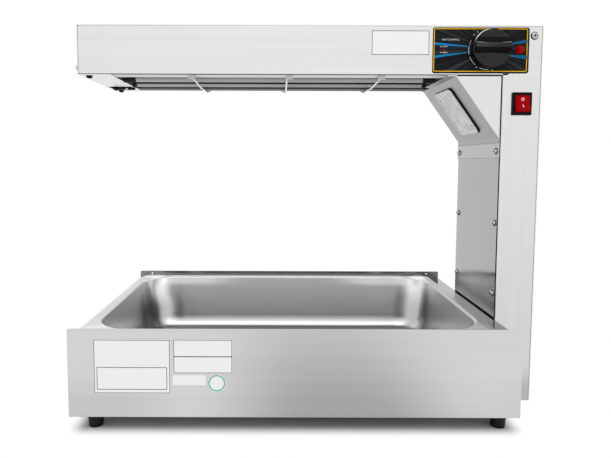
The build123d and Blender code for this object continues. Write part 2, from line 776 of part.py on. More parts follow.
with BuildPart() as lamp_bracket:
    extrude(bent_sheet(Plane.XY.offset(lamp_z), [(lamp_x - holder_diameter / 2, holder_rear),
                                                 (web_left, holder_rear),
                                                 (web_left, bracket_rear)],
                       Side.LEFT, bracket_sheet), amount=bracket_height / 2, both=True)
lamp_bracket.part.label = "lamp_bracket"
export_step(lamp_bracket.part, "parts/lamp_bracket.step")

# Heater: a folded reflector hangs on the covers' lower flanges, with an end plate at each end
shelf_z = canopy_bottom + sheet
reflector_half = guard_y + reflector_edge
mouth_half = reflector_half - reflector_flange
crown_half = mouth_half - reflector_slant
element_places = [-element_spacing / 2, element_spacing / 2]

with BuildPart() as reflector:
    crown_z = shelf_z + reflector_height
    extrude(bent_sheet(Plane.YZ.offset(reflector_left),
                       [(-reflector_half, shelf_z), (-mouth_half, shelf_z), (-crown_half, crown_z),
                        (crown_half, crown_z), (mouth_half, shelf_z), (reflector_half, shelf_z)],
                       Side.LEFT, reflector_sheet), amount=reflector_right - reflector_left)
    reflector_holes = [plane.offset(reflector_sheet) for plane in guard_holes]
    add(drills(reflector_holes, guard_hole_diameter, reflector_sheet), mode=Mode.SUBTRACT)
reflector.part.label = "reflector"
export_step(reflector.part, "parts/reflector.step")

for side, end_x, outward in (("left", reflector_left, -1), ("right", reflector_right, 1)):
    with BuildPart() as reflector_end:
        plate_top = shelf_z + reflector_height + reflector_sheet
        with BuildSketch(Plane.YZ.offset(end_x)):
            with Locations((0, (shelf_z + plate_top) / 2)):
                Rectangle(2 * (reflector_half - reflector_end_margin), plate_top - shelf_z)
            with Locations(*[(y, element_z) for y in element_places]):
                Circle(element_pin_diameter / 2 + hole_clearance, mode=Mode.SUBTRACT)
        extrude(amount=outward * reflector_end_sheet)
    reflector_end.part.label = f"reflector_end_{side}"
    export_step(reflector_end.part, f"parts/reflector_end_{side}.step")

# Black sleeves hold the tubes' ends, and only the pins pass through the end plates
with BuildPart() as element_insulators:
    for end_x, inward in ((reflector_left, 1), (reflector_right, -1)):
        for element_y, sleeve_length in zip(element_places, (insulator_length, rear_insulator_length)):
            with BuildSketch(Plane.YZ.offset(end_x)):
                with Locations((element_y, element_z)):
                    Circle(insulator_diameter / 2)
                    Circle(element_diameter / 2 + insulator_bore_gap, mode=Mode.SUBTRACT)
            extrude(amount=inward * sleeve_length)
element_insulators.part.label = "element_insulators"
export_step(element_insulators.part, "parts/element_insulators.step")

for place, element_y in zip(("front", "rear"), element_places):
    tube_half = (reflector_right - reflector_left) / 2 - element_end_gap
    with BuildPart() as heating_element:
        with BuildSketch(Plane.YZ.offset((reflector_left + reflector_right) / 2)):
            with Locations((element_y, element_z)):
                Circle(element_diameter / 2)
        extrude(amount=tube_half, both=True)
        with BuildSketch(Plane.YZ.offset((reflector_left + reflector_right) / 2)):
            with Locations((element_y, element_z)):
                Circle(element_pin_diameter / 2)
        extrude(amount=tube_half + element_pin_length, both=True)
    heating_element.part.label = f"heating_element_{place}"
    export_step(heating_element.part, f"parts/heating_element_{place}.step")

# Guard wires: bent rods that cross under the tubes, with both ends turned up through the flanges
for name, guard_x in zip(("left", "middle", "right"), guard_places):
    with BuildPart() as guard_wire:
        with BuildLine(Plane.YZ.offset(guard_x)):
            wire_top = shelf_z + reflector_sheet + guard_tail
            wire_low = canopy_bottom - guard_hang
            bend = FilletPolyline((-guard_y, wire_top), (-guard_y, wire_low), (0, wire_low - guard_dip),
                                  (guard_y, wire_low), (guard_y, wire_top), radius=guard_bend)
        with BuildSketch(Plane(origin=bend @ 0, z_dir=bend % 0)):
            Circle(guard_wire_diameter / 2)
        sweep()
    guard_wire.part.label = f"guard_wire_{name}"
    export_step(guard_wire.part, f"parts/guard_wire_{name}.step")

# Control plate on the front cover, with the heat regulator behind it
with BuildPart() as control_plate:
    with BuildSketch(Plane.XZ.offset(-column_front)):
        with Locations((plate_right - plate_width / 2, canopy_bottom + plate_rise + plate_height / 2)):
            RectangleRounded(plate_width, plate_height, plate_corner)
        with Locations((knob_x, control_z)):
            Circle(bush_diameter / 2 + fit_gap, mode=Mode.SUBTRACT)
        with Locations((indicator_x, control_z)):
            Circle(indicator_diameter / 2 + fit_gap, mode=Mode.SUBTRACT)
    extrude(amount=plate_thickness)
control_plate.part.label = "control_plate"
export_step(control_plate.part, "parts/control_plate.step")

regulator_plane = facing_front(knob_x, -cover_inside, control_z)
bush_length = sheet + plate_thickness + bush_reach
knob_back = cover_inside + sheet + plate_thickness + knob_gap
knob_height = knob_disc_height + knob_bar_height

with BuildPart() as heat_regulator:
    with BuildSketch(regulator_plane):
        RectangleRounded(regulator_size, regulator_size, regulator_corner)
    extrude(amount=-regulator_depth)
    with BuildSketch(regulator_plane):
        Circle(bush_diameter / 2)
    extrude(amount=bush_length)
    with BuildSketch(regulator_plane.offset(bush_length)):
        Circle(shaft_diameter / 2 + shaft_running_gap)
    extrude(amount=-bush_length - shaft_tail, mode=Mode.SUBTRACT)
heat_regulator.part.label = "heat_regulator"
export_step(heat_regulator.part, "parts/heat_regulator.step")

with BuildPart() as regulator_nut:
    add(hex_block([regulator_plane.offset(sheet + plate_thickness)], bush_nut_flats, bush_nut_height,
                  bush_diameter + 2 * hole_clearance))
regulator_nut.part.label = "regulator_nut"
export_step(regulator_nut.part, "parts/regulator_nut.step")

with BuildPart() as regulator_shaft:
    shaft_front = knob_back - cover_inside + knob_height - shaft_cover
    with BuildSketch(regulator_plane.offset(-shaft_tail + fit_gap)):
        Circle(shaft_diameter / 2)
    extrude(amount=shaft_front + shaft_tail - fit_gap)
    with BuildSketch(regulator_plane.offset(bush_length)):
        with Locations((0, shaft_diameter / 2)):
            Rectangle(shaft_diameter, 2 * shaft_flat)
    extrude(amount=shaft_front, mode=Mode.SUBTRACT)
regulator_shaft.part.label = "regulator_shaft"
export_step(regulator_shaft.part, "parts/regulator_shaft.step")

with BuildPart() as control_knob:
    knob_plane = regulator_plane.offset(knob_back - cover_inside)
    knob_radius = knob_diameter / 2
    with BuildSketch(knob_plane):
        Circle(knob_radius)
    extrude(amount=knob_disc_height)
    fillet(control_knob.faces().sort_by(Axis.Y)[0].edges(), radius=knob_edge_radius)
    with BuildSketch(knob_plane.offset(knob_disc_height)):
        with BuildLine():
            ThreePointArc((-knob_radius, knob_bar_width / 2), (0, knob_bar_waist / 2),
                          (knob_radius, knob_bar_width / 2))
            Line((knob_radius, knob_bar_width / 2), (knob_radius, -knob_bar_width / 2))
            ThreePointArc((knob_radius, -knob_bar_width / 2), (0, -knob_bar_waist / 2),
                          (-knob_radius, -knob_bar_width / 2))
            Line((-knob_radius, -knob_bar_width / 2), (-knob_radius, knob_bar_width / 2))
        make_face()
        Circle(knob_radius - knob_edge_radius, mode=Mode.INTERSECT)
    extrude(amount=knob_bar_height)
    fillet(control_knob.faces().sort_by(Axis.Y)[0].edges(), radius=knob_edge_radius)
    with BuildSketch(knob_plane):
        Circle(knob_recess_diameter / 2)
    extrude(amount=knob_recess_depth, mode=Mode.SUBTRACT)
    with BuildSketch(knob_plane):
        Circle(shaft_diameter / 2 + shaft_seat_gap)
        with Locations((0, shaft_diameter / 2 + shaft_seat_gap)):
            Rectangle(2 * shaft_diameter, 2 * shaft_flat, mode=Mode.SUBTRACT)
    extrude(amount=knob_height - shaft_cover + fit_gap, mode=Mode.SUBTRACT)
control_knob.part.label = "control_knob"
export_step(control_knob.part, "parts/control_knob.step")

# Pilot light beside the knob
indicator_plane = facing_front(indicator_x, plate_face, control_z)

with BuildPart() as indicator_lens:
    with BuildSketch(indicator_plane):
        Circle(indicator_flange_diameter / 2)
    extrude(amount=indicator_flange_height)
    with BuildSketch(indicator_plane.offset(indicator_flange_height)):
        Circle(indicator_dome_radius)
    extrude(amount=indicator_dome_height)
    fillet(indicator_lens.faces().sort_by(Axis.Y)[0].edges(), radius=indicator_dome_round)
indicator_lens.part.label = "indicator_lens"
export_step(indicator_lens.part, "parts/indicator_lens.step")

with BuildPart() as indicator_body:
    with BuildSketch(indicator_plane):
        Circle(indicator_diameter / 2)
    extrude(amount=-indicator_length)
    with BuildSketch(indicator_plane.offset(-plate_thickness - sheet)):
        Circle(indicator_collar_diameter / 2)
    extrude(amount=-indicator_collar_height)
indicator_body.part.label = "indicator_body"
export_step(indicator_body.part, "parts/indicator_body.step")

# Rocker switch on the column: the rocker turns on two pins in the body
switch_plane = facing_front(column_middle, column_front, switch_z)

with BuildPart() as switch_body:
    with BuildSketch(switch_plane):
        RectangleRounded(bezel_width, bezel_height, bezel_corner)
    extrude(amount=bezel_thickness)
    with BuildSketch(switch_plane):
        Rectangle(switch_body_width, switch_body_height)
    extrude(amount=-switch_body_depth)
    with BuildSketch(switch_plane.offset(bezel_thickness)):
        Rectangle(rocker_width + 2 * rocker_gap, 2 * (rocker_radius + rocker_gap))
    extrude(amount=-bezel_thickness - rocker_cavity_depth, mode=Mode.SUBTRACT)
    with BuildSketch(Plane.YZ.offset(column_middle)):
        with Locations((rocker_axis_y, switch_z)):
            Circle(rocker_pin_diameter / 2 + rocker_pin_gap)
    extrude(amount=rocker_width / 2 + rocker_pin_reach + rocker_gap, both=True, mode=Mode.SUBTRACT)
    with BuildSketch(switch_plane.offset(-switch_body_depth)):
        with GridLocations(blade_spacing_x, blade_spacing_z, 2, 2):
            Rectangle(blade_width, blade_thickness)
    extrude(amount=-blade_length)
switch_body.part.label = "switch_body"
export_step(switch_body.part, "parts/switch_body.step")


def on_rocker_rim(angle):
    """Point on the rocker's turning circle, at an angle from the front towards the top."""
    return (rocker_axis_y - rocker_radius * cos(radians(angle)), switch_z + rocker_radius * sin(radians(angle)))


with BuildPart() as switch_rocker:
    valley = rocker_pivot_depth + rocker_proud
    top_angle = degrees(asin(sqrt(rocker_radius**2 - valley**2) / rocker_radius))
    lean = radians(rocker_throw)
    lower_run = sqrt(rocker_radius**2 - (valley * cos(lean))**2) - valley * sin(lean)
    low_angle = degrees(atan2(-lower_run * cos(lean), valley + lower_run * sin(lean)))
    back_angle = 180 - degrees(asin(sqrt(rocker_radius**2 - rocker_back**2) / rocker_radius))
    with BuildSketch(Plane.YZ.offset(column_middle)):
        with BuildLine():
            Polyline(on_rocker_rim(top_angle), (rocker_axis_y - valley, switch_z), on_rocker_rim(low_angle))
            ThreePointArc(on_rocker_rim(low_angle), on_rocker_rim((low_angle - back_angle) / 2),
                          on_rocker_rim(-back_angle))
            Line(on_rocker_rim(-back_angle), on_rocker_rim(back_angle))
            ThreePointArc(on_rocker_rim(back_angle), on_rocker_rim((top_angle + back_angle) / 2),
                          on_rocker_rim(top_angle))
        make_face()
    extrude(amount=rocker_width / 2, both=True)
    with BuildSketch(Plane.YZ.offset(column_middle)):
        with Locations((rocker_axis_y, switch_z)):
            Circle(rocker_pin_diameter / 2)
    extrude(amount=rocker_width / 2 + rocker_pin_reach, both=True)
switch_rocker.part.label = "switch_rocker"
export_step(switch_rocker.part, "parts/switch_rocker.step")

# Wiring block on the spine, and the cord inlet in the rear cover
with BuildPart() as terminal_block:
    with BuildSketch(Plane.YZ.offset(web_right)):
        with Locations((0, terminal_rise)):
            Rectangle(terminal_length, terminal_height)
    extrude(amount=terminal_depth)
    with BuildSketch(Plane.YZ.offset(web_right + terminal_depth)):
        with Locations((0, terminal_rise)):
            with GridLocations(terminal_length / terminal_way_count, terminal_height / 2, terminal_way_count, 2):
                Circle(terminal_way_diameter / 2)
    extrude(amount=-terminal_way_depth, mode=Mode.SUBTRACT)
terminal_block.part.label = "terminal_block"
export_step(terminal_block.part, "parts/terminal_block.step")

gland_plane = at(column_middle, column_rear, gland_rise, (0, 1, 0))

with BuildPart() as cord_gland:
    with BuildSketch(gland_plane):
        RegularPolygon(gland_hex_flats / 2, 6, major_radius=False)
    extrude(amount=gland_hex_height)
    with BuildSketch(gland_plane.offset(gland_hex_height)):
        Circle(gland_cap_diameter / 2)
    extrude(amount=gland_cap_length, taper=gland_cap_taper)
    with BuildSketch(gland_plane):
        Circle(gland_thread / 2)
    extrude(amount=-gland_thread_reach)
    with BuildSketch(gland_plane.offset(-gland_thread_reach)):
        Circle(gland_bore / 2)
    extrude(amount=gland_thread_reach + gland_hex_height + gland_cap_length, mode=Mode.SUBTRACT)
cord_gland.part.label = "cord_gland"
export_step(cord_gland.part, "parts/cord_gland.step")

with BuildPart() as gland_nut:
    add(hex_block([at(column_middle, cover_inside, gland_rise, (0, -1, 0))], gland_hex_flats, gland_nut_height,
                  gland_thread + 2 * hole_clearance))
gland_nut.part.label = "gland_nut"
export_step(gland_nut.part, "parts/gland_nut.step")

# Screws that show, in groups by the piece that they hold
screw_groups = {
    "inner_panel_screws": (panel_screws + lamp_screws, screw_head_height),
    "end_cap_screws": (end_screws + end_floor_screws, screw_head_height),
    "side_cover_screws": (side_screws, screw_head_height),
    "top_cover_screws": (top_screws, top_head_height),
}
for name, (planes, head_height) in screw_groups.items():
    with BuildPart() as screws:
        add(domed_screws(planes, screw_head, head_height, screw_shank, screw_length))
    screws.part.label = name
    export_step(screws.part, f"parts/{name}.step")

with BuildPart() as cover_screws:
    add(domed_screws([front_cover_screw, rear_cover_screw], cover_screw_head, cover_screw_head_height,
                     cover_screw_shank, screw_length))
cover_screws.part.label = "cover_screws"
export_step(cover_screws.part, "parts/cover_screws.step")
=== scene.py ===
import json
from math import cos, pi, radians, sin

import bmesh
import bpy
from bpy.props import FloatProperty, FloatVectorProperty, PointerProperty
from bpy.types import Operator, Panel, PropertyGroup
from mathutils import Matrix, Vector


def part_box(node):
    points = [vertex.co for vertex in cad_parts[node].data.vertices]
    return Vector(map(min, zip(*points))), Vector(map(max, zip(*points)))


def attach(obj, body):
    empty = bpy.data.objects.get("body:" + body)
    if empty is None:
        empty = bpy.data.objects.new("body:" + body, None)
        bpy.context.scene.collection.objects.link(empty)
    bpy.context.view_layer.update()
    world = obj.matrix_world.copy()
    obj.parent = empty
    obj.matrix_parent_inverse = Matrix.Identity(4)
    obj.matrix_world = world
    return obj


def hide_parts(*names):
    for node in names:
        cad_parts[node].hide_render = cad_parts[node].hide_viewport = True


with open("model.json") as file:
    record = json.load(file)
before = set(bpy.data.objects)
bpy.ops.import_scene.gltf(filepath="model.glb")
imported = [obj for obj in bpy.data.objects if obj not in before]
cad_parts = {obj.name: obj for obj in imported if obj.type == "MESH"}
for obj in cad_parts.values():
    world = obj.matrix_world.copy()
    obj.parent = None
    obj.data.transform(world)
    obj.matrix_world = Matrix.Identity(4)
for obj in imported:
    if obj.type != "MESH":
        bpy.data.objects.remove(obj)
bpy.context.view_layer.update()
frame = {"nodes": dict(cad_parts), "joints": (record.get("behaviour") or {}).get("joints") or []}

bl_info = {
    "name": "Food Warmer Finishes",
    "version": (1, 0, 0),
    "blender": (4, 5, 0),
    "location": "View3D > Sidebar > Food Warmer",
    "description": "Finishes, dial print and studio for a countertop infrared food warmer",
    "category": "Object",
}

joints = {joint["name"]: joint for joint in frame["joints"]}
dial = Vector(joints["knob_turn"]["pos_m"])
degree = radians(1.0)


# Sizes and colours


def length(name, description, default):
    """A length that the user can change, in metres."""
    return FloatProperty(name=name, description=description, default=default, min=0.0,
                         unit="LENGTH", precision=5)


def amount(name, description, default):
    """A plain factor from 0 to 1."""
    return FloatProperty(name=name, description=description, default=default, min=0.0, max=1.0,
                         subtype="FACTOR")


def angle(name, description, degrees):
    """An angle, given in degrees."""
    return FloatProperty(name=name, description=description, default=radians(degrees),
                         unit="ROTATION")


def colour(name, description, default):
    """A linear colour."""
    return FloatVectorProperty(name=name, description=description, default=default, min=0.0,
                               max=1.0, subtype="COLOR")


def point(name, description, default):
    """A place in metres."""
    return FloatVectorProperty(name=name, description=description, default=default,
                               unit="LENGTH", subtype="TRANSLATION")


class WarmerMetals(PropertyGroup):
    """Tones and roughness of the metals."""

    canopy: colour("Canopy", "Brushed covers of the canopy and column", (0.745, 0.745, 0.74))
    base: colour("Base", "Brushed front panel of the base", (0.645, 0.645, 0.64))
    deck: colour("Deck", "Bright deck around the pan", (0.72, 0.72, 0.72))
    rear: colour("Rear", "Rear panel and its upstand", (0.24, 0.24, 0.24))
    polished: colour("Polished", "Inner panel of the column", (0.385, 0.385, 0.385))
    # The housing's sloped face is given this darker tone than its cheeks, as painted shade.
    housing: colour("Housing", "Sloped housing of the work light", (0.33, 0.33, 0.33))
    pan: colour("Pan", "Satin drawn pan", (0.66, 0.66, 0.65))
    wire: colour("Wire", "Bright guard wires", (0.66, 0.66, 0.66))
    screw: colour("Screw", "Screws and bolts", (0.50, 0.50, 0.50))
    rivet: colour("Rivet", "Rivets on the rear upstand", (0.90, 0.90, 0.90))
    zinc: colour("Zinc", "Plain inner sheet", (0.40, 0.41, 0.42))
    reflector: colour("Reflector", "Rolled aluminium trough", (0.62, 0.62, 0.62))
    brushed_roughness: amount("Brushed roughness", "Roughness of the brushed covers", 0.32)
    polished_roughness: amount("Polished roughness", "Roughness of the polished sheets", 0.12)
    pan_roughness: amount("Pan roughness", "Roughness of the satin pan", 0.30)
    flange_roughness: amount("Flange roughness", "Added on the rear flange", 0.60)
    foot_roughness: amount("Foot roughness", "Added at the polished panel's foot", 0.13)


class WarmerShades(PropertyGroup):
    """Painted shade and painted light: how much darker, or lighter, a metal is painted in one
    place than in the rest of its piece.
    """

    edge: amount("Edge", "Darker edges turned in under the canopy", 0.88)
    flange: amount("Flange", "Darker flanges under the canopy", 0.26)
    rear_flange: amount("Rear flange", "Further shade on the rear flange", 0.38)
    darkest: amount("Darkest", "Most shade under the canopy", 0.9)
    column: amount("Column", "Fall of light down the column", 0.12)
    column_foot: amount("Column foot", "Darker lower end of the column", 0.30)
    base_left: amount("Base left", "Darker lower left corner of the base", 0.13)
    base_right: amount("Base right", "Darker lower right corner of the base", 0.06)
    deck: amount("Deck", "Darker deck beside the column", 0.50)
    deck_front: amount("Deck front", "Further shade at the deck's front", 0.14)
    flap: amount("Flap", "Lighter flap of the lamp housing", 0.10)
    strip: amount("Strip", "Lighter strip along the flap", 0.32)
    seam: amount("Seam", "Darker seams of the flap", 0.45)
    panel_foot: amount("Panel foot", "Lighter foot of the polished panel", 0.25)
    pan_ends: amount("Pan ends", "Darker end walls of the pan", 0.72)
    pan_beside: amount("Pan beside", "Darker band beside the pan's rear corners", 0.38)
    pan_corner: amount("Pan corner", "Darker lower part of the pan's corners", 0.25)
    pan_core: amount("Pan core", "Lighter core of the pan's corners", 0.40)
    pan_floor: amount("Pan floor", "Darker floor of the pan", 0.66)
    pan_flange: amount("Pan flange", "Darker flange at the pan's right end", 0.35)
    # Painted shade along the reflector's mouth.
    mouth: amount("Mouth", "Painted shade at the reflector's mouth", 0.92)
    # Painted shade on the rear tube's upper half.
    tube_top_shade: amount("Tube top shade", "Dark coating on the rear tube's upper half", 0.97)
    # Painted shade on the screws under the canopy.
    screw_shade: amount("Screw shade", "Tarnish on the screws under the canopy", 0.94)


class WarmerForms(PropertyGroup):
    """Sizes and leans of the sheet metal's details, and sizes of the small fittings."""

    sheet: length("Sheet", "Thickness of the covers' sheet", 0.0012)
    flap: length("Flap", "Height of the housing's flap on the column", 0.028)
    strip: length("Strip", "Height of the lighter strip along the flap", 0.0215)
    pan_corner: length("Pan corner", "From the pan's edge to its corner's middle", 0.066)
    pan_flare: amount("Pan flare", "Extra lean of the pan's corners", 0.33)
    pan_brim: amount("Pan brim", "Extra lean of the long walls near the rim", 0.16)
    pan_open: amount("Pan open", "Lean of the corners to the pan's middle", 0.20)
    rivet_radius: length("Rivet radius", "Radius of a rivet", 0.0021)
    rivet_drop: length("Rivet drop", "From the upstand's top to a rivet", 0.0045)
    hook_radius: length("Hook radius", "Radius of the guard wires' hooked ends", 0.0012)
    hook_rise: length("Hook rise", "From the wire's lowest point up to its hooks", 0.0030)
    hook_root: length("Hook root", "Length of a hook inside its wire", 0.0015)
    lead_radius: length("Lead radius", "Radius of the lead's sleeve", 0.0027)
    collar_radius: length("Collar radius", "Radius of the sleeve's collar", 0.0038)
    clip_radius: length("Clip radius", "Radius of the lead's clip", 0.0031)
    lead_offset: length("Lead offset", "From the rear tube back to the lead", 0.014)
    lens_thickness: length("Lens thickness", "Thickness of the lens", 0.0036)
    lens_depth: length("Lens depth", "From the lens's middle to the panel's face", 0.0027)
    lens_proud: length("Lens proud", "How far the lens stands out of the panel", 0.0028)
    lens_margin: length("Lens margin", "Clearance of the lens in its opening", 0.0072)
    lens_corner: length("Lens corner", "Radius of the lens's corners", 0.007)
    lens_slope: angle("Lens slope", "Slope of the lens from upright", 35.87)
    seal_margin: length("Seal margin", "Clearance of the seal in the opening", 0.0062)
    seal_corner: length("Seal corner", "Radius of the seal's corners", 0.0075)
    seal_width: length("Seal width", "Width of the seal", 0.0010)


class WarmerTrim(PropertyGroup):
    """Colours of the glass, ceramic, plastic and rubber."""

    tube: colour("Tube", "Coated quartz tubes", (0.50, 0.50, 0.49))
    lens: colour("Lens", "Frosted lens of the work light", (0.64, 0.64, 0.63))
    bulb: colour("Bulb", "Frosted bulb", (0.85, 0.84, 0.80))
    porcelain: colour("Porcelain", "Bulb holder", (0.78, 0.77, 0.73))
    sleeve: colour("Sleeve", "Insulating sleeves", (0.010, 0.010, 0.010))
    moulding: colour("Moulding", "Regulator, terminal block and gland", (0.012, 0.012, 0.012))
    rubber: colour("Rubber", "Feet", (0.006, 0.006, 0.006))
    # Black of the strips that paint the shadow in the gaps between the covers.
    gap: colour("Gap", "Dark gaps between the covers", (0.006, 0.006, 0.006))
    # Black of the crosses and rings that paint the shadow in the screws' recesses and under their
    # heads.
    recess: colour("Recess", "Recesses and seats of the screws", (0.008, 0.008, 0.008))
    # Black of the seal, which also paints the shadow round the lens.
    seal: colour("Seal", "Seal around the lens", (0.008, 0.008, 0.008))
    fixing: colour("Fixing", "Fixings of the lens", (0.02, 0.02, 0.02))


class WarmerPrint(PropertyGroup):
    """Sizes and colours of the dial print, the marks and the blank plates."""

    film: length("Film", "Thickness of a printed mark", 0.00006)
    border_inset: length("Border inset", "From the plate's edge to the gold line", 0.0018)
    border_width: length("Border width", "Width of the gold line", 0.0010)
    border_corner: length("Border corner", "Radius of the gold line's corners", 0.0020)
    arc_radius: length("Arc radius", "Radius of the dial's arc", 0.0266)
    arc_width: length("Arc width", "Width of the dial's arc", 0.0008)
    tick_offset: length("Tick offset", "From the arc out to a tick's middle", 0.0014)
    tick_length: length("Tick length", "Length of a tick", 0.0024)
    letter: length("Letter", "Height of the legend", 0.0029)
    bullet: length("Bullet", "Radius of the dot before a word", 0.0007)
    plate_film: length("Plate film", "Thickness of a blank plate", 0.00012)
    plate_corner: length("Plate corner", "Radius of a blank plate's corners", 0.0008)
    rule_width: length("Rule width", "Width of a plate's border line", 0.0008)
    rule_corner: length("Rule corner", "Radius of a border line's corners", 0.0004)
    gold: colour("Gold", "Border line", (0.92, 0.48, 0.002))
    blue: colour("Blue", "Tapered stripes", (0.003, 0.20, 0.46))
    white: colour("White", "Dial arc and marks", (0.66, 0.66, 0.66))
    red: colour("Red", "Rocker, pilot light and legend", (0.34, 0.0008, 0.003))
    teal: colour("Teal", "Ring on the round plate", (0.05, 0.42, 0.36))
    black: colour("Black", "Knob and bezel", (0.005, 0.005, 0.0055))
    plate: colour("Plate", "Control plate", (0.0070, 0.0075, 0.0085))
    paper: colour("Paper", "Blank plates", (0.84, 0.84, 0.84))
    rule: colour("Rule", "Border lines of the blank plates", (0.06, 0.06, 0.065))


class WarmerStage(PropertyGroup):
    """Camera, floor and lights."""

    eye: point("Eye", "Camera position", (-0.0422, -0.7875, 0.3421))
    pitch: angle("Pitch", "Downward tilt of the camera", 4.125)
    roll: angle("Roll", "Turn of the camera about its view", -0.172)
    focal: FloatProperty(name="Focal", description="Focal length in millimetres", default=30.05)
    shift: FloatVectorProperty(name="Shift", description="Shift of the camera's lens", size=2,
                               default=(0.0444, -0.0507))
    # Grey of the shadow painted on the floor under the base.
    floor: colour("Floor", "Floor colour under the base", (0.49, 0.49, 0.49))
    shadow_front: length("Shadow front", "Inset of the shadow at the front and back", 0.015)
    shadow_left: length("Shadow left", "Inset of the shadow at the left", 0.02025)
    shadow_right: length("Shadow right", "Inset of the shadow at the right", 0.01605)
    shadow_reach: length("Shadow reach", "Distance over which the floor fades to white", 0.028)
    card: colour("Card", "Dark card that the base reflects", (0.02, 0.02, 0.02))
    card_middle: point("Card middle", "Middle of the dark card", (0.045, -0.48, 0.001))
    daylight: amount("Daylight", "White surroundings as matt surfaces see them", 0.80)
    softbox: point("Softbox", "Place of the softbox", (0.0, -1.6, 2.1))
    softbox_aim: point("Softbox aim", "Where the softbox points", (0.0, 0.1, 0.1))
    softbox_width: length("Softbox width", "Width of the softbox", 2.2)
    softbox_height: length("Softbox height", "Height of the softbox", 1.0)
    softbox_power: FloatProperty(name="Softbox power", description="Power of the softbox",
                                 default=12.0, unit="POWER")


def setting(group):
    """One group of the scene's settings."""
    return getattr(bpy.context.scene, f"warmer_{group}")


# Shader maths


class Wire:
    """A socket that can stand in a Python sum."""

    def __init__(self, graph, socket):
        self.graph = graph
        self.socket = socket

    def maths(self, operation, *values):
        return self.graph.node("ShaderNodeMath", {"operation": operation},
                               dict(enumerate(values)))

    def __add__(self, other):
        return self.maths("ADD", self, other)

    def __radd__(self, other):
        return self.maths("ADD", other, self)

    def __sub__(self, other):
        return self.maths("SUBTRACT", self, other)

    def __rsub__(self, other):
        return self.maths("SUBTRACT", other, self)

    def __mul__(self, other):
        return self.maths("MULTIPLY", self, other)

    def __rmul__(self, other):
        return self.maths("MULTIPLY", other, self)

    def __pow__(self, other):
        return self.maths("POWER", self, other)

    def __abs__(self):
        return self.maths("ABSOLUTE", self)

    def larger(self, other):
        return self.maths("MAXIMUM", self, other)

    def smaller(self, other):
        return self.maths("MINIMUM", self, other)

    def angle(self, across):
        """Angle of the point whose height is this wire and whose width is the other."""
        return self.maths("ARCTAN2", self, across)

    def step(self, start, end):
        """Smooth step from 0 at the start to 1 at the end."""
        return self.graph.node("ShaderNodeMapRange", {"interpolation_type": "SMOOTHSTEP"},
                               {"Value": self, "From Min": start, "From Max": end})

    def above(self, level, fade):
        """1 above a level, fading to 0 over a distance below it."""
        return self.step(level - fade, level)

    def below(self, level, fade):
        """1 below a level, fading to 0 over a distance above it."""
        return self.step(level + fade, level)

    def near(self, middle, reach, fade):
        """1 within reach of a middle, fading to 0 beyond it."""
        return abs(self - middle).below(reach, fade)


class Graph:
    """A node tree that adds nodes and joins them."""

    def __init__(self, tree):
        self.nodes = tree.nodes
        self.links = tree.links

    def put(self, socket, value):
        """Links a wire to a socket, or sets a plain value on it."""
        if isinstance(value, Wire):
            self.links.new(value.socket, socket)
        elif socket.type == "RGBA" and len(value) == 3:
            socket.default_value = (*value, 1.0)
        else:
            socket.default_value = value

    def node(self, kind, settings, sockets, output=0):
        """Adds a node, sets it up, joins its inputs and returns one output."""
        node = self.nodes.new(kind)
        for key, value in settings.items():
            setattr(node, key, value)
        for key, value in sockets.items():
            self.put(node.inputs[key], value)
        return Wire(self, node.outputs[output])


class Finish(Graph):
    """A material and the nodes that feed its shader."""

    def __init__(self, name, **constants):
        self.material = bpy.data.materials.new(name)
        self.material.use_nodes = True
        super().__init__(self.material.node_tree)
        self.shader = self.nodes["Principled BSDF"]
        for key, value in constants.items():
            self.feed(key.replace("_", " ").title().replace("Ior", "IOR"), value)

    def feed(self, socket, value):
        self.put(self.shader.inputs[socket], value)

    def place(self):
        """Object coordinates, in metres."""
        return self.node("ShaderNodeTexCoord", {}, {}, "Object")

    def axes(self):
        """Object coordinates as three wires."""
        return [self.node("ShaderNodeSeparateXYZ", {}, {"Vector": self.place()}, axis)
                for axis in "XYZ"]

    def noise(self, scale, detail=3.0, roughness=0.55):
        """Noise from 0 to 1, with one scale for each axis, per metre."""
        mapped = self.node("ShaderNodeMapping", {}, {"Vector": self.place(), "Scale": scale})
        return self.node("ShaderNodeTexNoise", {}, {"Vector": mapped, "Scale": 1.0,
                                                    "Detail": detail, "Roughness": roughness})

    def dust(self, scale, detail=3.0, roughness=0.55):
        """Noise with the same scale on each axis."""
        return self.noise((scale, scale, scale), detail, roughness)

    def tint(self, base, tone):
        """A colour made lighter or darker by a wire."""
        return self.node("ShaderNodeVectorMath", {"operation": "SCALE"},
                         {"Vector": tuple(base), "Scale": tone})

    def bump(self, height, strength, distance):
        self.feed("Normal", self.node("ShaderNodeBump", {}, {
            "Height": height, "Strength": strength, "Distance": distance}))

    def lean(self, upward, backward):
        """Leans the surface upward and backward."""
        normal = self.node("ShaderNodeNewGeometry", {}, {}, "Normal")
        push = self.node("ShaderNodeCombineXYZ", {}, {"Y": backward, "Z": upward})
        leaning = self.node("ShaderNodeVectorMath", {"operation": "ADD"}, {0: normal, 1: push})
        self.feed("Normal", self.node("ShaderNodeVectorMath", {"operation": "NORMALIZE"},
                                      {0: leaning}))


def grain(axis, hair=(4.0, 1300.0), band=(1.3, 120.0)):
    """Noise scales of the hairs and bands along an axis, each given as along and across."""
    return [tuple(along if index == axis else across for index in range(3))
            for along, across in (hair, band)]


along_x, along_y, along_z = grain(0), grain(1), grain(2)


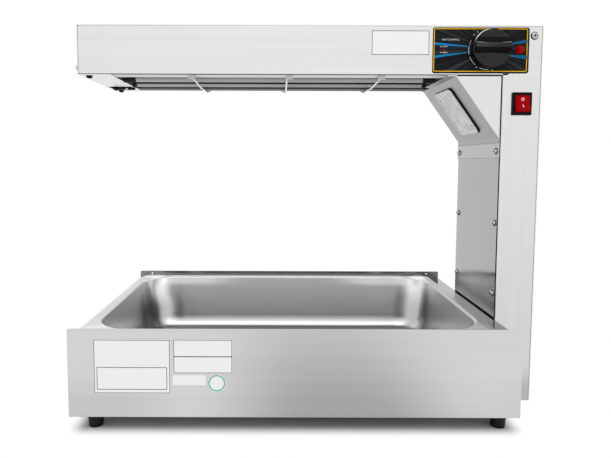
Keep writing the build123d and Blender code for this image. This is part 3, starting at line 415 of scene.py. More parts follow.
def brushed(name, base, roughness, brushing, contrast=0.10, shade=None, dull=None,
            upright_below=None):
    """Steel brushed along one axis, and upright below a height where one is given.

    A shade function gives a further tone, and a dull function further roughness.
    """
    steel = Finish(name, metallic=1.0)
    hairs, bands = steel.noise(brushing[0], 4.0, 0.65), steel.noise(brushing[1], 2.0)
    if upright_below:
        lower = steel.axes()[2].below(upright_below - 0.0004, 0.0004)
        hairs = hairs + (steel.noise(along_z[0], 4.0, 0.65) - hairs) * lower
        bands = bands + (steel.noise(along_z[1], 2.0) - bands) * lower
    tone = 1.0 + (hairs - 0.5) * contrast + (bands - 0.5) * contrast
    steel.feed("Base Color", steel.tint(base, tone * shade(steel) if shade else tone))
    texture = roughness + (hairs - 0.5) * 0.16 + (bands - 0.5) * 0.06
    steel.feed("Roughness", texture + dull(steel) if dull else texture)
    steel.bump(hairs, 0.12, 0.0001)
    return steel.material


def satin(name, base, roughness, scale, contrast=0.06):
    """Metal with a fine even grain."""
    steel = Finish(name, metallic=1.0)
    dust = steel.dust(scale)
    steel.feed("Base Color", steel.tint(base, 1.0 + (dust - 0.5) * contrast))
    steel.feed("Roughness", roughness + (dust - 0.5) * 0.08)
    steel.bump(dust, 0.04, 0.00005)
    return steel.material


def moulded(name, base, roughness, scale=900.0, mottle=0.25, **constants):
    """Plastic, rubber or print with a fine grain."""
    stuff = Finish(name, **constants)
    dust, clouds = stuff.dust(scale), stuff.dust(60.0, 2.0)
    tone = 1.0 + (clouds - 0.5) * mottle + (dust - 0.5) * mottle
    stuff.feed("Base Color", stuff.tint(base, tone))
    stuff.feed("Roughness", roughness + (dust - 0.5) * 0.10 + (clouds - 0.5) * 0.08)
    stuff.bump(dust, 0.10, 0.00004)
    return stuff.material


def dress(material, *names):
    """Puts a material on CAD nodes."""
    for name in names:
        node = frame["nodes"][name]
        if not node.material_slots:
            raise RuntimeError(f"{name} has no material slot")
        for slot in node.material_slots:
            slot.link = "OBJECT"
            slot.material = material


# Mesh forms


def make_piece(name, form, material, body, smooth=False):
    """Turns a bmesh into a piece that rides on a body."""
    bmesh.ops.remove_doubles(form, verts=form.verts, dist=1e-6)
    bmesh.ops.recalc_face_normals(form, faces=form.faces)
    for face in form.faces:
        face.smooth = smooth
    mesh = bpy.data.meshes.new(name)
    form.to_mesh(mesh)
    form.free()
    mesh.materials.append(material)
    piece = bpy.data.objects.new(name, mesh)
    bpy.context.scene.collection.objects.link(piece)
    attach(piece, body)
    return piece


def facing_front(x, y, z):
    """Matrix that stands a flat form up, facing the front."""
    return Matrix.Translation((x, y, z)) @ Matrix.Rotation(pi / 2, 4, "X")


def facing(normal, place):
    """Matrix that turns local z along a normal, at a place."""
    turn = Vector(normal).to_track_quat("Z", "Y").to_matrix().to_4x4()
    return Matrix.Translation(place) @ turn


def thicken(form, faces, film, matrix):
    """Lifts flat faces by a film thickness and puts them in place."""
    lifted = bmesh.ops.extrude_face_region(form, geom=faces, use_keep_orig=True)
    tops = [item for item in lifted["geom"] if isinstance(item, bmesh.types.BMVert)]
    bmesh.ops.translate(form, verts=tops, vec=(0.0, 0.0, film))
    touched = {vert for face in faces for vert in face.verts} | set(tops)
    bmesh.ops.transform(form, matrix=matrix, verts=list(touched))


def add_patch(form, corners, film, matrix):
    """A flat mark with straight sides."""
    face = form.faces.new([form.verts.new((x, y, 0.0)) for x, y in corners])
    thicken(form, [face], film, matrix)


def add_strip(form, x0, x1, y0, y1, film, matrix):
    """A flat rectangle between two corners."""
    add_patch(form, [(x0, y0), (x1, y0), (x1, y1), (x0, y1)], film, matrix)


def add_stripe(form, start, end, film, matrix):
    """A tapered stripe between two ends, each given as x, y and thickness."""
    (x0, y0, t0), (x1, y1, t1) = start, end
    add_patch(form, [(x0, y0 - t0 / 2), (x1, y1 - t1 / 2), (x1, y1 + t1 / 2), (x0, y0 + t0 / 2)],
              film, matrix)


def add_plate(form, width, height, corner, film, matrix, rule=None):
    """A plate with round corners, or only its border line when a rule width is given."""
    made = bmesh.ops.create_grid(form, x_segments=1, y_segments=1, size=0.5)
    bmesh.ops.scale(form, vec=(width, height, 1.0), verts=made["verts"])
    rounded = bmesh.ops.bevel(form, geom=made["verts"], offset=corner, offset_type="OFFSET",
                              segments=5, profile=0.5, material=-1, affect="VERTICES")
    face = next(face for vert in rounded["verts"] for face in vert.link_faces)
    faces = [face]
    if rule:
        faces = bmesh.ops.inset_region(form, faces=[face], thickness=rule, use_boundary=True,
                                       use_even_offset=True)["faces"]
        bmesh.ops.delete(form, geom=[face], context="FACES_ONLY")
    thicken(form, faces, film, matrix)


def add_disc(form, radius, film, matrix, segments=24):
    """A thin round disc."""
    made = bmesh.ops.create_circle(form, cap_ends=True, segments=segments, radius=radius)
    thicken(form, list(made["verts"][0].link_faces), film, matrix)


def add_arc(form, radius, width, start, end, film, matrix):
    """A band along a circle, between two angles in degrees from local x."""
    near = form.verts.new((radius - width / 2, 0.0, 0.0))
    far = form.verts.new((radius + width / 2, 0.0, 0.0))
    edge = form.edges.new((near, far))
    bmesh.ops.rotate(form, verts=[near, far], cent=(0, 0, 0),
                     matrix=Matrix.Rotation(radians(start), 3, "Z"))
    known = set(form.faces)
    bmesh.ops.spin(form, geom=[near, far, edge], cent=(0, 0, 0), axis=(0, 0, 1),
                   angle=radians(end - start), steps=max(2, int((end - start) / 6)),
                   use_merge=end - start >= 360)
    thicken(form, [face for face in form.faces if face not in known], film, matrix)


def add_cross(form, arm, film, matrix):
    """A plus-shaped recess mark, one fifth of its span wide."""
    known = set(form.faces)
    bmesh.ops.create_grid(form, x_segments=5, y_segments=5, size=arm)
    faces = [face for face in form.faces if face not in known]
    half = arm * 0.21
    spare = [face for face in faces
             if min(abs(axis) for axis in face.calc_center_median().xy) > half]
    bmesh.ops.delete(form, geom=spare, context="FACES")
    thicken(form, [face for face in faces if face.is_valid], film, matrix)


def add_curve(form, curve):
    """Adds the mesh of a curve or text, removes the curve and returns the new faces."""
    holder = bpy.data.objects.new("holder", curve)
    bpy.context.scene.collection.objects.link(holder)
    bpy.context.view_layer.update()
    mesh = bpy.data.meshes.new_from_object(holder)
    known = set(form.faces)
    form.from_mesh(mesh)
    bpy.data.objects.remove(holder)
    bpy.data.curves.remove(curve)
    bpy.data.meshes.remove(mesh)
    return [face for face in form.faces if face not in known]


def add_word(form, word, size, film, matrix):
    """A word as a thin mesh that starts at its place."""
    text = bpy.data.curves.new("word", "FONT")
    text.body = word
    text.size = size
    text.align_y = "CENTER"
    thicken(form, add_curve(form, text), film, matrix)


def add_bend(form, radius, points):
    """A round wire bent smoothly along points."""
    path = bpy.data.curves.new("bend", "CURVE")
    path.dimensions = "3D"
    path.bevel_depth = radius
    path.bevel_resolution = 3
    path.use_fill_caps = True
    spline = path.splines.new("NURBS")
    spline.points.add(len(points) - 1)
    for spot, place in zip(spline.points, points):
        spot.co = (*place, 1.0)
    spline.order_u = 3
    spline.use_endpoint_u = True
    spline.resolution_u = 6
    add_curve(form, path)


def add_rod(form, radius, start, end):
    """A round rod between two points."""
    start, end = Vector(start), Vector(end)
    bmesh.ops.create_cone(form, cap_ends=True, segments=20, radius1=radius, radius2=radius,
                          depth=(end - start).length,
                          matrix=facing(end - start, (start + end) / 2))


def islands(name):
    """Boxes of the separate solids in a CAD node."""
    node = frame["nodes"][name]
    form = bmesh.new()
    form.from_mesh(node.data)
    form.transform(node.matrix_world)
    bmesh.ops.remove_doubles(form, verts=form.verts, dist=1e-6)
    left = set(form.verts)
    boxes = []
    while left:
        front = {left.pop()}
        found = set(front)
        while front:
            front = {edge.other_vert(vert) for vert in front for edge in vert.link_edges} - found
            found |= front
        left -= found
        spots = [vert.co for vert in found]
        boxes.append((Vector(min(spot[axis] for spot in spots) for axis in range(3)),
                      Vector(max(spot[axis] for spot in spots) for axis in range(3))))
    form.free()
    return boxes


def canopy_underside():
    """Height of the flanges that the covers turn in under the canopy."""
    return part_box("left_end_cap")[0].z + setting("forms").sheet


# Pieces and finishes


class WARMER_OT_covers(Operator):
    """Brushed covers of the canopy and column"""

    bl_idname = "warmer.covers"
    bl_label = "Covers"

    def execute(self, context):
        metals, shades = setting("metals"), setting("shades")
        rough = metals.brushed_roughness
        under = canopy_underside()
        front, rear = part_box("front_cover")[0].y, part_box("rear_cover")[0].y
        panel_low, panel_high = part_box("column_inner_panel")

        def flanges(z):
            return z.below(under + 0.0001, 0.0002)

        def rear_half(y):
            return y.above(0.01, 0.01)

        # Painted shade: the edges and flanges turned in under the canopy, the column's lower part
        # and its foot are painted darker.
        def under_canopy(steel):
            x, y, z = steel.axes()
            canopy = x.below(panel_high.x - 0.0014, 0.0004)
            front_edge = z.below(under + 0.0008, 0.0003) * y.below(front + 0.0030, 0.0006)
            rear_edge = y.above(rear, 0.0010) * y.below(rear + 0.0004, 0.0004)
            flange = shades.flange + rear_half(y) * shades.rear_flange
            turned = (front_edge + rear_edge) * shades.edge + flanges(z) * flange
            column = z.step(under - 0.04, 0.05) * (1.0 - canopy)
            foot = z.below(0.012, 0.048) * (1.0 - canopy)
            tone = 1.0 - canopy * turned.smaller(shades.darkest)
            return tone * (1.0 - column * shades.column) * (1.0 - foot * shades.column_foot)

        def dull_flange(steel):
            x, y, z = steel.axes()
            canopy = x.below(panel_low.x - 0.01, 0.01)
            return flanges(z) * rear_half(y) * canopy * metals.flange_roughness

        dress(brushed("cover brushed steel", metals.canopy, rough, along_x, 0.12, under_canopy,
                      dull_flange, under), "front_cover", "rear_cover")
        dress(brushed("top brushed steel", metals.canopy, rough, along_x), "top_cover")
        dress(brushed("side brushed steel", metals.canopy, rough, along_z), "right_side_cover")
        dress(brushed("end brushed steel", metals.canopy, rough, along_y), "left_end_cap")
        return {"FINISHED"}


class WARMER_OT_base(Operator):
    """Brushed panels and bright deck of the base, with the rivets on its upstand"""

    bl_idname = "warmer.base"
    bl_label = "Base"

    def execute(self, context):
        metals, shades, forms = setting("metals"), setting("shades"), setting("forms")
        polish = metals.polished_roughness

        # Painted shade: the lower left and right corners of the base's front panel are painted
        # darker.
        def lower_corners(steel):
            x, y, z = steel.axes()
            left, right = x.below(-0.25, 0.11), x.above(0.26, 0.10)
            corners = left * shades.base_left + right * shades.base_right
            return 1.0 - corners * z.below(0.035, 0.05)

        # Painted reflection: the deck beside the column is painted darker, as the column's
        # reflection, and more so at the front.
        def beside_column(steel):
            x, y, z = steel.axes()
            front = y.below(-0.12, 0.04)
            return 1.0 - x.above(0.235, 0.03) * (shades.deck + front * shades.deck_front)

        dress(brushed("base brushed steel", metals.base, metals.brushed_roughness, along_x,
                      shade=lower_corners), "front_panel")
        dress(brushed("rear brushed steel", metals.rear, polish, along_x, 0.06), "rear_panel")
        dress(brushed("deck steel", metals.deck, polish, along_x, 0.05, beside_column),
              "deck_shell")

        rivets = bmesh.new()
        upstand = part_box("rear_panel")[1]
        for x in (-0.2797, 0.2373):
            place = (x, upstand.y - forms.sheet, upstand.z - forms.rivet_drop)
            bmesh.ops.create_uvsphere(rivets, u_segments=16, v_segments=8,
                                      radius=forms.rivet_radius, matrix=Matrix.Translation(place))
        make_piece("upstand_rivets", rivets, satin("bright rivet", metals.rivet, 0.12, 900.0),
                   "warmer", True)
        return {"FINISHED"}


class WARMER_OT_lamp_housing(Operator):
    """Sloped housing of the work light, and black strips that paint the shadow in the gaps between
    it and the covers
    """

    bl_idname = "warmer.lamp_housing"
    bl_label = "Lamp housing"

    def execute(self, context):
        metals, shades, forms = setting("metals"), setting("shades"), setting("forms")
        low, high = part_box("lamp_housing")
        flap_top, strip_top = low.z + forms.flap, low.z + forms.strip
        # Painted light and shade: the cheeks are lifted to the canopy's tone, the flap and the
        # strip along it are painted lighter, and the seams are painted dark as shadow.
        lighter = metals.canopy[0] / metals.housing[0] - 1.0

        def faces(steel):
            x, y, z = steel.axes()
            flap = z.below(flap_top - 0.0003, 0.0006)
            cheek = abs(y).above(high.y - 0.0011, 0.0001) * (1.0 - flap)
            strip = z.below(strip_top - 0.0002, 0.0004)
            seam = z.near(strip_top, 0.0002, 0.0006) + z.below(low.z + 0.0004, 0.0006)
            tone = 1.0 + cheek * lighter + flap * shades.flap + strip * shades.strip
            return tone * (1.0 - seam * shades.seam)

        dress(brushed("lamp housing steel", metals.housing, metals.brushed_roughness, along_y,
                      0.06, faces), "lamp_housing")

        under = canopy_underside()
        panel_low, panel_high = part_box("column_inner_panel")
        front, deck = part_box("front_cover")[0].y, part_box("deck_shell")[1].z
        edge = panel_high.x
        # Painted shadow: black strips and a notch laid where the gaps between the housing, the
        # inner panel and the covers fall into shade.
        gaps = bmesh.new()
        add_strip(gaps, edge - 0.0020, edge, 0.0, under - flap_top, 0.0004,
                  facing_front(0.0, low.y + 0.0012, flap_top))
        add_strip(gaps, edge - 0.0010, edge - 0.0001, 0.0, flap_top - panel_low.z, 0.0003,
                  facing_front(0.0, panel_low.y - 0.0002, panel_low.z))
        add_strip(gaps, low.x + 0.013, edge, -0.0012, 0.0, 0.0004,
                  facing_front(0.0, low.y + 0.0006, under))
        add_strip(gaps, panel_low.y, panel_high.y, deck, panel_low.z + 0.0004, 0.0004,
                  facing((-1, 0, 0), (panel_low.x + 0.0006, 0.0, 0.0)))
        notch = [(-0.0004, 0.0002), (0.0050, 0.0002), (0.0092, 0.0024), (-0.0004, 0.0022)]
        add_patch(gaps, notch, 0.0001, facing_front(edge, front, under))
        dark = moulded("dark gap", setting("trim").gap, 0.7, specular_ior_level=0.05)
        make_piece("cover_gap_shadows", gaps, dark, "warmer")
        return {"FINISHED"}


class WARMER_OT_polished_panel(Operator):
    """Polished panel on the column's inner side, with a slight wave in the sheet"""

    bl_idname = "warmer.polished_panel"
    bl_label = "Polished panel"

    def execute(self, context):
        metals = setting("metals")
        steel = Finish("polished panel steel", metallic=1.0)
        hairs = steel.noise((900.0, 900.0, 4.0))
        wave = steel.noise((9.0, 9.0, 11.0), 1.0)
        z = steel.axes()[2]
        # Painted reflection: the panel's foot is painted lighter.
        foot = 1.0 + z.below(0.155, 0.025) * setting("shades").panel_foot
        tone = foot * (1.0 + (hairs - 0.5) * 0.06 + (wave - 0.5) * 0.05)
        haze = z.below(0.166, 0.020) * metals.foot_roughness
        steel.feed("Base Color", steel.tint(metals.polished, tone))
        steel.feed("Roughness", metals.polished_roughness + haze + (hairs - 0.5) * 0.08)
        steel.bump(wave + hairs * 0.004, 0.5, 0.004)
        dress(steel.material, "column_inner_panel")
        return {"FINISHED"}


class WARMER_OT_pan(Operator):
    """Satin drawn pan, whose corners lean out more than its walls, with painted shade and painted
    highlights on its walls and floor
    """

    bl_idname = "warmer.pan"
    bl_label = "Pan"

    def execute(self, context):
        metals, shades, forms = setting("metals"), setting("shades"), setting("forms")
        low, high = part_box("food_pan")
        middle, half = (low + high) / 2, (high - low) / 2
        steel = Finish("pan satin steel", metallic=1.0)
        dust = steel.dust(1500.0)
        x, y, z = steel.axes()

        # The turn is 0 where a corner meets an end wall, and 90 degrees at a long wall.
        aside = abs(x - middle.x) - (half.x - forms.pan_corner)
        ahead = abs(y - middle.y) - (half.y - forms.pan_corner)
        turn = ahead.angle(aside)
        depth = z.below(high.z - 0.060, 0.040)
        right = x.above(0.1, 0.2)
        bend = depth * (12 * degree - right * (9 * degree))
        streak = 51 * degree + bend - right * (6 * degree)
        corner = turn.near(streak, 5 * degree, 25 * degree)
        wall = corner * z.above(low.z + 0.024, 0.012)
        brim = z.above(high.z - 0.008, 0.013) * aside.above(-0.02, 0.11) * ahead.above(0.03, 0.03)
        inward = 1.0 - y.above(0.02, 0.04) * 2.0
        steel.lean(wall * forms.pan_flare + brim * forms.pan_brim, wall * inward * forms.pan_open)

        # Painted shade and painted highlight: the end walls near the rear corners, the band beside
        # each corner, the corners' lower part, the floor and the flange at the right end are
        # painted darker, and the core of each corner lighter.
        deep = z.step(high.z - 0.006, right * 0.018 + (high.z - 0.060)) * y.above(0.03, 0.07)
        past = streak - turn - right * (10 * degree)
        ends = turn.above(25 * degree, 110 * degree)
        ends = ends * past.step(5 * degree, right * (12 * degree) + 20 * degree)
        beside = turn.near(streak + 26 * degree, 4 * degree, 16 * degree)
        beside = beside * z.above(low.z + 0.028, 0.010)
        core = turn.near(streak, 4 * degree, 18 * degree) * (1.0 - depth * 0.8)
        floor = z.below(low.z + 0.0088, 0.0047)
        flange = z.above(high.z - 0.001, 0.003) * x.above(high.x - 0.0085, 0.0035)
        tone = 1.0 + core * shades.pan_core
        for place, shade in ((ends * deep, shades.pan_ends), (beside * deep, shades.pan_beside),
                             (wall * deep, shades.pan_corner), (floor, shades.pan_floor),
                             (flange, shades.pan_flange)):
            tone = tone * (1.0 - place * shade)
        steel.feed("Base Color", steel.tint(metals.pan, tone * (1.0 + (dust - 0.5) * 0.05)))
        steel.feed("Roughness", metals.pan_roughness + (dust - 0.5) * 0.06)
        dress(steel.material, "food_pan")
        return {"FINISHED"}


class WARMER_OT_heater(Operator):
    """Reflector, tubes, sleeves, guard wires with their hooks, and the lead"""

    bl_idname = "warmer.heater"
    bl_label = "Heater"

    def execute(self, context):
        metals, shades, trim = setting("metals"), setting("shades"), setting("trim")
        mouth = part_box("reflector")[0].z

        # Painted shade: the reflector is painted darker along its mouth.
        def painted_mouth_shade(steel):
            return 1.0 - steel.axes()[2].below(mouth + 0.0022, 0.0028) * shades.mouth

        rolled = grain(0, (4.0, 700.0), (1.2, 90.0))
        dress(brushed("reflector aluminium", metals.reflector, 0.10, rolled, 0.08, painted_mouth_shade),
              "reflector")
        dress(satin("zinc sheet", metals.zinc, 0.42, 500.0, 0.16), "reflector_end_left",
              "reflector_end_right", "column_spine", "column_foot_plate", "lens_retainer",
              "lamp_bracket")

        low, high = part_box("heating_element_front")
        middle = (low.z + high.z) / 2
        tube = Finish("coated quartz", coat_weight=0.2, coat_roughness=0.1,
                      specular_ior_level=0.2)
        streaks = tube.noise((5.0, 900.0, 900.0))
        x, y, z = tube.axes()
        # Painted shade: the rear tube's upper half is painted dark.
        tube_top_shade = z.above(middle + 0.0006, 0.0008) * y.above(0.001, 0.002)
        tone = (1.0 + (streaks - 0.5) * 0.35) * (1.0 - tube_top_shade * shades.tube_top_shade)
        tube.feed("Base Color", tube.tint(trim.tube, tone))
        tube.feed("Roughness", 0.32 + (streaks - 0.5) * 0.2)
        dress(tube.material, "heating_element_front", "heating_element_rear")

        bright = satin("bright wire", metals.wire, 0.18, 1500.0)
        self.bend_guard_wires(bright)
        sleeve = moulded("black sleeve", trim.sleeve, 0.5, specular_ior_level=0.15)
        dress(sleeve, "element_insulators")
        self.lay_lead(sleeve, bright)
        return {"FINISHED"}

    def bend_guard_wires(self, bright):
        """Hooks the front end of each guard wire one way and its rear end the other way."""
        forms = setting("forms")
        front_hook = ((0.0015, 0.0020), (0.0042, 0.0036), (0.0072, 0.0034), (0.0090, 0.0018))
        rear_hook = ((-0.0015, 0.0008), (-0.0040, 0.0014), (-0.0058, 0.0026), (-0.0046, 0.0038))
        hooks = bmesh.new()
        for wire, side in (("guard_wire_left", -1.0), ("guard_wire_middle", 1.0),
                           ("guard_wire_right", 1.0)):
            dress(bright, wire)
            low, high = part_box(wire)
            x, z = (low.x + high.x) / 2, low.z + forms.hook_rise
            reach = high.y - (high.x - low.x) / 2
            for end, bends in ((-1.0, front_hook), (1.0, rear_hook)):
                root = (x, end * (reach - forms.hook_root), z)
                add_bend(hooks, forms.hook_radius, [root, *(
                    (x + side * across, end * reach, z + rise) for across, rise in bends)])
        make_piece("guard_hooks", hooks, bright, "warmer", True)

    def lay_lead(self, sleeve, bright):
        """Lays the sleeved lead, with its collar and clip, under the canopy's free end."""
        forms = setting("forms")
        low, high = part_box("left_end_cap")
        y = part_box("heating_element_rear")[1].y + forms.lead_offset
        z = low.z - forms.sheet / 2
        lead, clip = bmesh.new(), bmesh.new()
        for form, radius, start, end in (
                (lead, forms.lead_radius, low.x + 0.010, high.x - 0.002),
                (lead, forms.collar_radius, low.x + 0.012, low.x + 0.016),
                (clip, forms.clip_radius, low.x + 0.030, low.x + 0.033)):
            add_rod(form, radius, (start, y, z), (end, y, z))
        make_piece("lead_sleeve", lead, sleeve, "warmer", True)
        make_piece("lead_clip", clip, bright, "warmer", True)


class WARMER_OT_work_light(Operator):
    """Moulded frosted lens with its seal and fixings, bulb and holder of the work light"""

    bl_idname = "warmer.work_light"
    bl_label = "Work light"

    def execute(self, context):
        forms, trim = setting("forms"), setting("trim")
        low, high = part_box("lamp_lens")
        middle = (low + high) / 2
        slope, thick = forms.lens_slope, forms.lens_thickness
        tall = ((high.x - low.x) - thick * cos(slope)) / sin(slope)
        wide = high.y - low.y
        outward = Vector((-cos(slope), 0.0, -sin(slope)))
        upward = Vector((-sin(slope), 0.0, cos(slope)))
        place = Matrix((Vector((0, 1, 0)), upward, outward)).transposed().to_4x4()
        place.translation = middle + outward * (forms.lens_depth + forms.lens_proud - thick / 2)

        glass = Finish("frosted lens", coat_weight=0.4, coat_roughness=0.1)
        frost = glass.dust(300.0, 4.0, 0.7)
        ripple = glass.noise((70.0, 110.0, 70.0), 3.0, 0.6)
        x, y, z = glass.axes()
        along = (x - middle.x) * upward.x + (z - middle.z) * upward.z
        past_edge = (abs(along) - tall / 2).larger(abs(y - middle.y) - wide / 2)
        # Painted highlight: the lens's rim is painted lighter than its pane.
        rim = past_edge.above(-0.0090, 0.0015)
        pane = ripple.above(0.66, 0.20) * 0.42 + (frost - 0.5) * 0.3
        glass.feed("Base Color", glass.tint(trim.lens, 0.86 + rim * 0.30 + (1.0 - rim) * pane))
        glass.feed("Roughness", 0.30 + (frost - 0.5) * 0.2)
        glass.bump(ripple + frost * 0.2, 0.6, 0.002)

        lens = bmesh.new()
        made = bmesh.ops.create_cube(lens, size=1.0)
        bmesh.ops.scale(lens, verts=made["verts"],
                        vec=(wide - forms.lens_margin, tall - forms.lens_margin, thick))
        uprights = [edge for edge in lens.edges
                    if abs(edge.verts[0].co.z - edge.verts[1].co.z) > thick / 2]
        bmesh.ops.bevel(lens, geom=uprights, offset=forms.lens_corner, offset_type="OFFSET",
                        segments=6, profile=0.5, material=-1, affect="EDGES")
        top = max(lens.faces, key=lambda face: face.calc_center_median().z)
        rim_steps = ((0.0010, 0.0005), (0.0020, 0.0), (0.0010, -0.0009), (0.0014, 0.0),
                     (0.0006, 0.0005))
        for width, rise in rim_steps:
            bmesh.ops.inset_region(lens, faces=[top], thickness=width, depth=rise,
                                   use_boundary=True, use_even_offset=True)
        bmesh.ops.transform(lens, matrix=place, verts=lens.verts)
        piece = make_piece("moulded_lens", lens, glass.material, "warmer")
        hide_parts("lamp_lens")

        dots = bmesh.new()
        for across, up in ((0.026, 0.026), (-0.027, -0.026)):
            spot = place @ Matrix.Translation((across, up, thick / 2 + 0.0002))
            add_disc(dots, 0.0011, 0.0002, spot, 12)
        make_piece("lens_fixings", dots, moulded("dark fixing", trim.fixing, 0.5), "warmer")
        # A black seal round the lens, which also paints the shadow in the lens's recess.
        seal = bmesh.new()
        add_plate(seal, wide - forms.seal_margin, tall - forms.seal_margin, forms.seal_corner,
                  thick - 0.0006, place @ Matrix.Translation((0.0, 0.0, -thick / 2)),
                  forms.seal_width)
        black = moulded("black seal", trim.seal, 0.6, specular_ior_level=0.1)
        make_piece("lens_seal_shadow", seal, black, "warmer")

        dress(moulded("bulb glass", trim.bulb, 0.25, 300.0, 0.05), "lamp_bulb")
        dress(moulded("lamp porcelain", trim.porcelain, 0.35, 400.0, 0.08), "lamp_holder")
        return {"FINISHED"}


class WARMER_OT_control_plate(Operator):
    """Black plate behind the dial, printed with faint rays"""

    bl_idname = "warmer.control_plate"
    bl_label = "Control plate"

    def execute(self, context):
        plate = Finish("black printed plate", specular_ior_level=0.05)
        x, y, z = plate.axes()
        turn = (z - dial.z).angle(x - dial.x)
        rays = plate.node("ShaderNodeTexNoise", {"noise_dimensions": "1D"},
                          {"W": turn, "Scale": 7.0, "Detail": 3.0})
        dust = plate.dust(900.0)
        tone = 1.2 + rays.above(0.75, 0.33) * 3.5 + (dust - 0.5) * 0.4
        plate.feed("Base Color", plate.tint(setting("print").plate, tone))
        plate.feed("Roughness", 0.42 + (dust - 0.5) * 0.15)
        dress(plate.material, "control_plate")
        return {"FINISHED"}


class WARMER_OT_knob(Operator):
    """Glossy black knob, with painted highlights along its rim and the brow of its grip bar, and
    painted shade in bands of less gloss
    """

    bl_idname = "warmer.knob"
    bl_label = "Knob"

    def execute(self, context):
        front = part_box("control_knob")[0].y
        grip = Finish("black knob plastic", specular_ior_level=0.02, coat_roughness=0.12)
        x, y, z = grip.axes()
        across, rise = x - dial.x, z - dial.z
        dust = grip.dust(1300.0)
        bar = y.below(front + 0.0055, 0.0002)
        side = y.above(front + 0.0074, 0.0008)

        # Painted shade and painted reflection: bands over and under the bar and the side wall get
        # less coat, and the bar's left end more.
        over_bar = rise.above(0.0068, 0.0018) * rise.below(0.0132, 0.0018) * (1.0 - bar)
        lower_bar = rise.below(-0.0012, 0.0020) * bar
        gloss = 0.62 + bar * across.below(-0.018, 0.030) * 0.5
        gloss = gloss * (1.0 - over_bar * 0.8) * (1.0 - lower_bar * 0.97) * (1.0 - side * 0.85)
        grip.feed("Coat Weight", gloss)

        # Painted highlight: the upper left of the rim and the brow of the bar's ends are made
        # bright metal.
        turn = rise.angle(across)
        reach = (rise ** 2.0 + across ** 2.0) ** 0.5
        rim = reach.above(0.0248, 0.0006) * (1.0 - side)
        rim = rim * turn.above(112 * degree, 28 * degree) * turn.below(140 * degree, 28 * degree)
        brow = bar * (rise - across ** 2.0 * 2.7).above(0.0052, 0.0008)
        knob_highlight = rim + brow * abs(across).above(0.016, 0.008) * 0.35
        grip.feed("Metallic", knob_highlight)
        grip.feed("Base Color", grip.tint(setting("print").black, 0.7 + dust * 0.6 + knob_highlight * 125.0))
        grip.feed("Roughness", 0.30 + (dust - 0.5) * 0.15)
        dress(grip.material, "control_knob")
        return {"FINISHED"}


class WARMER_OT_mouldings(Operator):
    """Switch, pilot light, wiring mouldings and rubber feet"""

    bl_idname = "warmer.mouldings"
    bl_label = "Mouldings"

    def execute(self, context):
        ink, trim = setting("print"), setting("trim")
        dress(moulded("black bezel plastic", ink.black, 0.33, 1100.0, 0.3,
                      specular_ior_level=0.08), "switch_body")
        dress(moulded("red rocker plastic", ink.red, 0.26, 900.0, 0.3, specular_ior_level=0.02),
              "switch_rocker")
        dress(moulded("red pilot lens", ink.red, 0.12, 500.0, 0.2, specular_ior_level=0.02,
                      coat_weight=0.06, coat_roughness=0.04), "indicator_lens")
        dress(moulded("black moulding", trim.moulding, 0.5, 600.0, 0.3, specular_ior_level=0.25),
              "heat_regulator", "indicator_body", "terminal_block", "cord_gland", "gland_nut")
        dress(moulded("foot rubber", trim.rubber, 0.5, 800.0, 0.4, specular_ior_level=0.15),
              "foot_front_left", "foot_front_right", "foot_rear_left", "foot_rear_right")
        return {"FINISHED"}


class WARMER_OT_fasteners(Operator):
    """Bright screws, bolts and nuts, with a black cross painted as the recess and a black ring
    painted as shadow under the head of each shown screw
    """

    bl_idname = "warmer.fasteners"
    bl_label = "Fasteners"

    def execute(self, context):
        metals = setting("metals")
        dress(satin("bright fastener steel", metals.screw, 0.16, 1500.0), "inner_panel_screws",
              "side_cover_screws", "top_cover_screws", "cover_screws", "foot_screws",
              "column_bolts", "regulator_nut", "regulator_shaft")
        # Painted shade: the screws under the canopy are painted darker, and made duller.
        shaded_screw = Finish("end screw steel", metallic=1.0)
        dust = shaded_screw.dust(1500.0)
        below = shaded_screw.axes()[2].below(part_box("left_end_cap")[0].z + 0.0002, 0.0006)
        tone = (1.0 - below * setting("shades").screw_shade) * (0.9 + dust * 0.2)
        shaded_screw.feed("Base Color", shaded_screw.tint(metals.screw, tone))
        shaded_screw.feed("Roughness", 0.16 + below * 0.6 + (dust - 0.5) * 0.08)
        dress(shaded_screw.material, "end_cap_screws")

        head_heights = {"inner_panel_screws": 0.0030, "end_cap_screws": 0.0030,
                        "side_cover_screws": 0.0030, "top_cover_screws": 0.0019,
                        "cover_screws": 0.0024}
        # Painted shadow: a black cross stands for each screw's recess, and a black disc under the
        # head for the shadow round it.
        cross_share, seat_share = 0.56, 1.22
        marks = bmesh.new()
        for name, height in head_heights.items():
            for low, high in islands(name):
                middle, size = (low + high) / 2, high - low
                axis = max(range(3), key=lambda index: abs(size[index] - sorted(size)[1]))
                if axis == 2:
                    positive = name == "top_cover_screws"
                else:
                    positive = middle[axis] > 0 and name != "inner_panel_screws"
                outward = Vector((0, 0, 0))
                outward[axis] = 1.0 if positive else -1.0
                head = middle.copy()
                head[axis] = high[axis] if positive else low[axis]
                radius = max(size[index] for index in range(3) if index != axis) / 2
                add_cross(marks, radius * cross_share, 0.00006, facing(outward, head))
                add_disc(marks, radius * seat_share, 0.0001,
                         facing(outward, head - outward * height))
        dark = moulded("dark recess", setting("trim").recess, 0.5, specular_ior_level=0.1)
        make_piece("screw_recess_shadows", marks, dark, "warmer")
        return {"FINISHED"}


